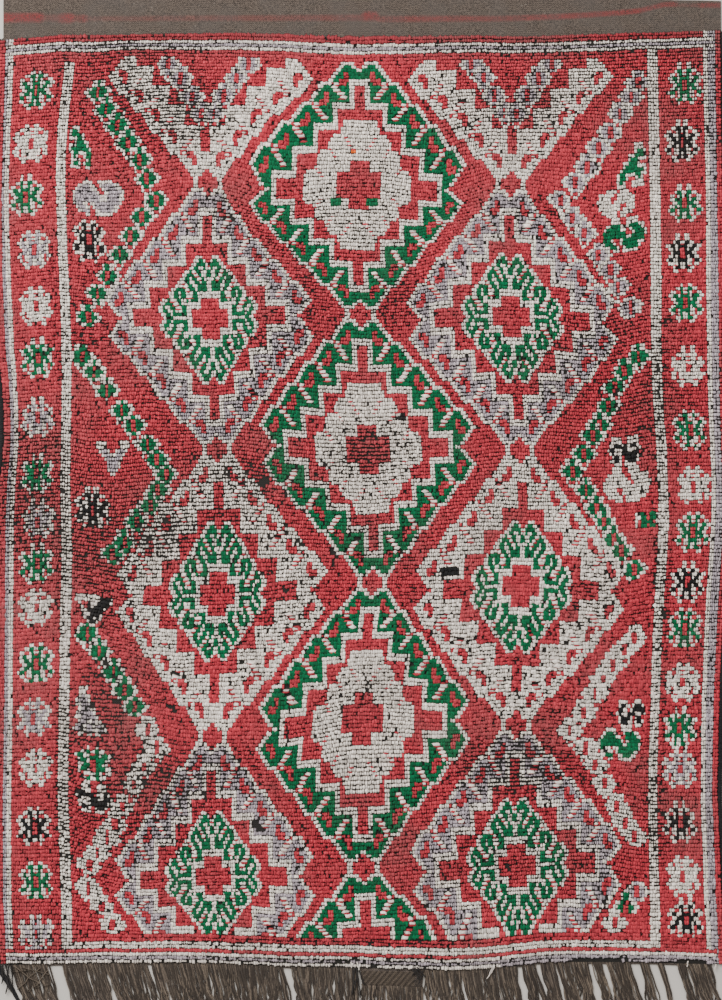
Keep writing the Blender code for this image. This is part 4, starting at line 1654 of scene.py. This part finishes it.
def ground_material(settings):
    """Plain woven wool: warps and picks with painted light on their crowns and painted shade in their
    hollows, a red stripe, and near-black painted shade on the ground under the pile.
    """
    material = bpy.data.materials.new("grey_brown_web")
    material.use_nodes = True
    tree = material.node_tree
    shader = tree.nodes["Principled BSDF"]
    place = tree.nodes.new("ShaderNodeTexCoord").outputs["Object"]
    split = tree.nodes.new("ShaderNodeSeparateXYZ")
    tree.links.new(place, split.inputs["Vector"])
    wander = noise(tree, place, 60.0, 2.0)
    wander = math_node(tree, "MULTIPLY", wander, 0.0022)
    across = math_node(tree, "ADD", split.outputs["X"], wander)
    along = math_node(tree, "ADD", split.outputs["Y"], wander)
    warp = math_node(tree, "SINE", math_node(tree, "MULTIPLY", across, 2.0 * math.pi / settings.warp_pitch))
    pick = math_node(tree, "SINE", math_node(tree, "MULTIPLY", along, 2.0 * math.pi / settings.pick_pitch))
    weave = math_node(tree, "MULTIPLY", warp, pick)
    weave = math_node(tree, "ADD", math_node(tree, "MULTIPLY", weave, 0.35), 0.5)
    ribs = math_node(tree, "ADD", math_node(tree, "MULTIPLY", pick, 0.15), weave)
    fibre = noise(tree, place, 900.0, 3.0, 0.6)
    cloud = noise(tree, place, 14.0, 4.0, 0.6)
    # Painted light and shade of the weave: the web's colour is darkened in the hollows between the threads
    # and lightened on their crowns, then mottled by the grain
    dark = tuple(value * 0.28 for value in settings.web)
    light = tuple(min(1.0, value * 2.1) for value in settings.web)
    grain = noise(tree, place, 420.0, 3.0, 0.7)
    mottled = math_node(tree, "ADD", ribs, spread(tree, grain, 0.30, 0.70, -0.42, 0.42), clamp=True)
    woven = mix_colour(tree, spread(tree, mottled, 0.10, 0.90), (*dark, 1.0), (*light, 1.0))
    stripe = attribute(tree, "stripe")
    streaky = math_node(tree, "MULTIPLY", stripe, spread(tree, grain, 0.38, 0.60, 0.15, 1.0))
    striped = mix_colour(tree, streaky, woven, (*settings.stripe, 1.0))
    clouded = mix_colour(tree, spread(tree, cloud, 0.35, 0.7, 0.0, 0.4), striped, WEB_CLOUD)
    flecks = spread(tree, noise(tree, place, 210.0, 1.0), 0.73, 0.78)
    flecked = mix_colour(tree, math_node(tree, "MULTIPLY", flecks, 0.35), clouded, WEB_FLECK)
    # Painted shade: under the pile, where it shows between the knots, the ground is near black
    shaded_ground = mix_colour(tree, spread(tree, ribs, 0.2, 0.8), GROUND_SHADE_DARK, GROUND_SHADE_LIGHT)
    colour = mix_colour(tree, attribute(tree, "bare"), shaded_ground, flecked)
    tree.links.new(colour, shader.inputs["Base Color"])
    height = math_node(tree, "ADD", ribs, math_node(tree, "MULTIPLY", fibre, 0.5))
    bump = tree.nodes.new("ShaderNodeBump")
    bump.inputs["Strength"].default_value = 0.7
    bump.inputs["Distance"].default_value = 0.0008
    tree.links.new(height, bump.inputs["Height"])
    tree.links.new(bump.outputs["Normal"], shader.inputs["Normal"])
    tree.links.new(spread(tree, fibre, 0.3, 0.7, 0.98, 0.85), shader.inputs["Roughness"])
    shader.inputs["Specular IOR Level"].default_value = 0.2
    shader.inputs["Sheen Weight"].default_value = 0.15
    return material


class RUG_OT_edges(bpy.types.Operator):
    """Overcast the two sides of the pile with black yarn"""

    bl_idname = "rug.edges"
    bl_label = "Overcast sides"

    def execute(self, context):
        settings = context.scene.rug_edges
        material = wool_material("black_overcasting", settings.yarn, 0.08)
        overcast("overcast_left_yarn", 0.0, -1.0, LEFT_TAIL, "overcast_left", material, settings)
        overcast("overcast_right_yarn", 1.0, 1.0, RIGHT_TAIL, "overcast_right", material, settings)
        return {"FINISHED"}


def overcast(name, across, outward, tail, node, material, settings):
    """One side's overcasting: a wound ridge whose wraps slant across it."""
    side = [ground_point(across, row) for row in ground_rows() if row[1]]
    line = [(x, y, 1.0) for x, y, _ in side]
    foot_x, foot_y, _ = side[-1]
    for drop, drift, share in tail:
        line.append((foot_x - outward * drift, foot_y - drop, share))
    line = np.array(line)
    lengths = np.concatenate(([0.0], np.cumsum(np.hypot(np.diff(line[:, 0]), np.diff(line[:, 1])))))
    count = int(lengths[-1] / settings.wrap_pitch) * SECTIONS_A_WRAP
    stations = np.linspace(0.0, lengths[-1], count)
    x = np.interp(stations, lengths, line[:, 0])
    y = np.interp(stations, lengths, line[:, 1])
    share = np.interp(stations, lengths, line[:, 2])
    chance = np.random.default_rng(len(name) + count)
    wraps = count // SECTIONS_A_WRAP + 1
    bulge = np.repeat(chance.normal(1.0, 0.07, wraps), SECTIONS_A_WRAP)[:count]
    places = []
    for number in range(count):
        between = number % SECTIONS_A_WRAP == 0
        trough = WRAP_TROUGH if between else 1.0
        row = []
        narrowing = OVERCAST_WIDTH * (1.0 - share[number]) / 2.0
        for place, height in OVERCAST_SECTION:
            reach = PIECE_GAP + narrowing + OVERCAST_WIDTH * share[number] * place
            if place == 1.0:
                reach = reach * (WRAP_WAIST if between else 1.0)
            slant = (place - 0.5) * settings.wrap_pitch * WRAP_SLANT
            rise = OVERCAST_THICKNESS * height * math.sqrt(share[number]) * trough * bulge[number]
            rise = min(rise, OVERCAST_THICKNESS * HIGHEST_WRAP)
            row.append((x[number] + outward * reach, y[number] - slant, rise))
        places.append(row)
    data = finished_mesh(name, grid_slab(places))
    data.shade_smooth()
    map_plan(data)
    chance = np.random.default_rng(count)
    tone_and_shade = np.clip(chance.normal(0.5, 0.2, len(data.vertices)), 0.0, 1.0)
    add_attributes(data, {"tone_and_shade": tone_and_shade, "depth": np.zeros(len(data.vertices))})
    piece = add_piece(name, data, (material,))
    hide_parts(node)


class RUG_OT_fringe(bpy.types.Operator):
    """Draw the warp ends at the foot out into loose yarns"""

    bl_idname = "rug.fringe"
    bl_label = "Foot fringe"

    def execute(self, context):
        grow_fringe(context.scene.rug_fringe)
        return {"FINISHED"}


def yarn_template():
    """A plain yarn along its length: points with their place along and around it, and triangles."""
    mesh = bmesh.new()
    bmesh.ops.create_circle(mesh, segments=YARN_SIDES, radius=1.0)
    edges = list(mesh.edges)
    for _ in range(YARN_STATIONS - 1):
        grown = bmesh.ops.extrude_edge_only(mesh, edges=edges)
        verts = [item for item in grown["geom"] if isinstance(item, bmesh.types.BMVert)]
        edges = [item for item in grown["geom"] if isinstance(item, bmesh.types.BMEdge)]
        bmesh.ops.translate(mesh, verts=verts, vec=(0.0, 0.0, 1.0))
    bmesh.ops.holes_fill(mesh, edges=mesh.edges, sides=YARN_SIDES)
    bmesh.ops.recalc_face_normals(mesh, faces=mesh.faces)
    return triangle_arrays(mesh)


def foot_y(x):
    """Where the pile's foot lies at one x."""
    return eased(END_EDGES, x, 3)


def root_depth(x):
    """Depth of the fringe's strip, which is wider where a piece of foot web is left."""
    if WEB_REMNANT_LEFT < x < WEB_REMNANT_RIGHT:
        return STRIP_DEPTH + WEB_REMNANT_DEPTH
    return STRIP_DEPTH


def lay_yarn(points, top, end, lift, radius, sway, wave):
    """Points of one yarn lying from its top to its end, waving aside on its way."""
    share = points[:, 2] / (YARN_STATIONS - 1.0)
    away = np.clip(share * 1.4, 0.0, 1.0)
    bend = sway * (np.sin(share * 7.0 + wave) + 0.6 * np.sin(share * 16.0 + 2.3 * wave)) * away
    middle_x = top[0] + (end[0] - top[0]) * share + bend
    middle_y = top[1] + (end[1] - top[1]) * share
    thick = radius * (1.0 + 0.14 * np.sin(share * 55.0 + wave)) * (1.0 - 0.4 * (share > 0.95))
    high = lift + 0.0010 * np.abs(np.sin(share * 6.0 + wave)) + thick
    return np.stack((middle_x + points[:, 0] * thick, middle_y + points[:, 0] * thick * 0.15,
                     np.maximum(high + points[:, 1] * thick, 0.0002)), axis=1)


def lock_roots():
    """Number and x of each lock that the fringe still has."""
    number = 0
    x = FRINGE_LEFT
    while x + LOCK_WIDTH <= FRINGE_RIGHT:
        root = x + LOCK_WIDTH / 2.0
        if not any(low < root < high for low, high in BARE_PLACES):
            yield number, root
        number += 1
        x += LOCK_PITCH


def lay_lock(template, lock, root, chance, settings):
    """Yarns of one lock: points, tone, depth of shade and material slot of each."""
    strip = root_depth(root)
    root_y = foot_y(root) - PIECE_GAP - strip
    length = root_y + RUG_LENGTH / 2.0 - TIP_SPREAD * ((lock * GOLDEN_TURN) % 1.0)
    lean = eased(FRINGE_LEAN, root)
    bunch = FRINGE_LEFT + (BUNCH_LOCKS * (lock // BUNCH_LOCKS) + BUNCH_LOCKS / 2.0) * LOCK_PITCH
    draw = (bunch - root) * BUNCH_DRAW
    top_y = root_y + strip * (0.9 if strip == STRIP_DEPTH else 0.1)
    lock_sway = chance.uniform(*LOCK_SWAY_RANGE)
    lock_wave = chance.uniform(0.0, 2.0 * math.pi)
    lock_end = chance.normal(0.0, LOCK_END_SPREAD)
    lock_shade = chance.uniform(0.0, LOCK_SHADE)
    yarns = []
    for yarn in range(settings.yarns_a_lock):
        under = yarn % 2 == 1
        lift, gather, end_spread, thickness, wave_spread = UNDER_YARN if under else UPPER_YARN
        aside = (yarn + 0.5) / settings.yarns_a_lock - 0.5 + chance.normal(0.0, 0.12)
        start = root + aside * LOCK_PITCH
        reach = length * chance.uniform(0.84, 1.0)
        tone_and_shade = chance.uniform(0.25, 1.0)
        # Painted shade: under yarns are nearly fully darkened, upper yarns by the lock's shade and a little
        # more at random
        shade = chance.uniform(0.88, 1.0) if under else lock_shade + chance.uniform(0.0, 0.5) ** 2
        stray = chance.normal(0.0, STRAY_REACH) if chance.uniform() < STRAY_SHARE else 0.0
        end_x = start + lean * reach + draw - aside * LOCK_PITCH * gather + lock_end + stray
        end_x += chance.normal(0.0, end_spread)
        radius = settings.yarn_radius * chance.uniform(0.8, 1.2) * thickness
        sway = lock_sway * chance.uniform(0.8, 1.2)
        wave = lock_wave + chance.normal(0.0, wave_spread)
        placed = lay_yarn(template, (start, top_y), (end_x, root_y - reach), lift, radius, sway, wave)
        yarns.append((placed, tone_and_shade, shade, FRINGE_SLOT))
    return yarns


def lay_loose_ends(template, settings):
    """Loose yarns and pile ends over the fringe: points, tone, depth of shade and material slot."""
    yarns = []
    for wool, left, top, right, bottom in LOOSE_ENDS:
        sway = 0.0030 if wool == "f" else 0.0009
        placed = lay_yarn(template, pixel_point(left, top), pixel_point(right, bottom), LOOSE_LIFT,
                          settings.yarn_radius * 1.1, sway, left)
        # A little painted shade on each loose yarn
        yarns.append((placed, 0.5, 0.1, LOOSE_SLOTS[wool]))
    return yarns


def grow_fringe(settings):
    """The strip of warp loops with its loose yarns, joined as one piece."""
    chance = np.random.default_rng(FRINGE_SEED)
    template, faces = yarn_template()
    yarns = []
    for lock, root in lock_roots():
        yarns += lay_lock(template, lock, root, chance, settings)
    yarns += lay_loose_ends(template, settings)
    parts = []
    for placed, tone_and_shade, shade, slot in yarns:
        parts.append((placed, faces, np.full(len(placed), tone_and_shade), np.full(len(placed), shade), slot))
    strip, strip_faces = root_strip()
    parts.append((strip, strip_faces, np.full(len(strip), 0.4), np.full(len(strip), 0.6), STRIP_SLOT))
    parts.append((*twill_remnant(chance), FRINGE_SLOT))
    starts = np.cumsum([0] + [len(part[0]) for part in parts[:-1]])
    placed = np.concatenate([part[0] for part in parts])
    corners = np.concatenate([part[1] + start for part, start in zip(parts, starts)])
    attributes = {
        "tone_and_shade": np.concatenate([part[2] for part in parts]),
        "depth": np.concatenate([part[3] for part in parts]),
        "soil": np.full(len(placed), 0.1),
        "bare": np.ones(len(placed)),
        "stripe": np.zeros(len(placed)),
    }
    data = joined_mesh("foot_fringe_yarn", placed, corners, attributes, plan_map(placed))
    slots = np.concatenate([np.full(len(part[1]), part[4]) for part in parts])
    data.polygons.foreach_set("material_index", slots.astype(np.int32))
    wools = (
        wool_material("grey_brown_yarn", settings.yarn, 0.3),
        bpy.data.materials["grey_brown_web"],
        bpy.data.materials["black_wool"],
        bpy.data.materials["ivory_wool"],
    )
    piece = add_piece("foot_fringe_yarn", data, wools)
    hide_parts("foot_fringe")


def twill_remnant(chance):
    """Floats of the twill that is left of the foot web: points, triangles, tone with painted light on the
    raised floats, and depth of painted shade.
    """
    template, faces = tuft_template()
    across = np.arange(WEB_REMNANT_LEFT, WEB_REMNANT_RIGHT - 0.02, TWILL_PITCH)
    down = np.arange(TWILL_PITCH, WEB_REMNANT_DEPTH, TWILL_PITCH * 0.8)
    x, row = np.meshgrid(across, np.arange(len(down)), indexing="ij")
    x, row = x.ravel(), row.ravel()
    y = np.array([foot_y(place) for place in x]) - PIECE_GAP - STRIP_DEPTH - down[row]
    x = x + (row % 3) * TWILL_PITCH / 3.0
    count = len(x)
    half = TWILL_PITCH * 0.46 * chance.normal(1.0, 0.12, (count, 2))
    places = np.stack((
        x[:, None] + template[None, :, 0] * half[:, :1] + template[None, :, 1] * half[:, :1] * 0.5,
        y[:, None] + template[None, :, 1] * half[:, 1:] * 0.8,
        STRIP_THICKNESS * 0.7 + 0.0016 * template[None, :, 2] * np.ones((count, 1))), axis=2).reshape(-1, 3)
    corners = (faces[None, :, :] + len(template) * np.arange(count)[:, None, None]).reshape(-1, 3)
    # Painted light and shade: raised floats are lighter, sunk floats and the foot of each float darker
    raised = ((np.round(x / TWILL_PITCH * 1.5) + row) % 2 == 0).astype(float)
    tone_and_shade = np.repeat(chance.uniform(0.2, 0.6, count) + 0.4 * raised, len(template))
    sunk = np.repeat(0.55 * (1.0 - raised), len(template))
    depth = np.clip(np.tile(1.0 - template[:, 2], count) + sunk, 0.0, 1.0)
    return places, corners, tone_and_shade, depth


def root_strip():
    """The strip of loops along the foot and the remnant of web under it."""
    count = 400
    edges = np.linspace(FRINGE_LEFT, FRINGE_RIGHT, count)
    upper, lower = [], []
    for x in edges:
        y = foot_y(x) - PIECE_GAP
        upper.append((x, y, STRIP_THICKNESS * 0.8))
        lower.append((x, y - root_depth(x), STRIP_THICKNESS * 0.8))
    return triangle_arrays(grid_slab([upper, lower]))


class RUG_PT_sidebar(bpy.types.Panel):
    """Operators and sizes of the rug."""

    bl_idname = "RUG_PT_sidebar"
    bl_label = "Hand-knotted rug"
    bl_space_type = "VIEW_3D"
    bl_region_type = "UI"
    bl_category = "Rug"

    def draw(self, context):
        scene = context.scene
        layout = self.layout
        for operator, settings in OPERATORS:
            box = layout.box()
            box.operator(operator)
            group = getattr(scene, settings)
            for key in group.bl_rna.properties.keys():
                if key not in {"rna_type", "name"}:
                    box.prop(group, key)


OPERATORS = (
    ("rug.stage", "rug_stage"),
    ("rug.pile", "rug_pile"),
    ("rug.ground", "rug_ground"),
    ("rug.edges", "rug_edges"),
    ("rug.fringe", "rug_fringe"),
)
SETTINGS = (
    ("rug_stage", RugStageSettings),
    ("rug_pile", RugPileSettings),
    ("rug_ground", RugGroundSettings),
    ("rug_edges", RugEdgeSettings),
    ("rug_fringe", RugFringeSettings),
)
CLASSES = (
    RUG_OT_stage,
    RUG_OT_pile,
    RUG_OT_ground,
    RUG_OT_edges,
    RUG_OT_fringe,
    RUG_PT_sidebar,
)


def register():
    """Register the settings, the operators and the panel."""
    for name, settings in SETTINGS:
        bpy.utils.register_class(settings)
        setattr(bpy.types.Scene, name, PointerProperty(type=settings))
    for item in CLASSES:
        bpy.utils.register_class(item)


def unregister():
    """Remove what register() added."""
    for item in reversed(CLASSES):
        bpy.utils.unregister_class(item)
    for name, settings in reversed(SETTINGS):
        delattr(bpy.types.Scene, name)
        bpy.utils.unregister_class(settings)


def main():
    """Build the rug."""
    register()
    bpy.ops.rug.stage()
    bpy.ops.rug.pile()
    bpy.ops.rug.ground()
    bpy.ops.rug.edges()
    bpy.ops.rug.fringe()


if __name__ == "__main__":
    main()
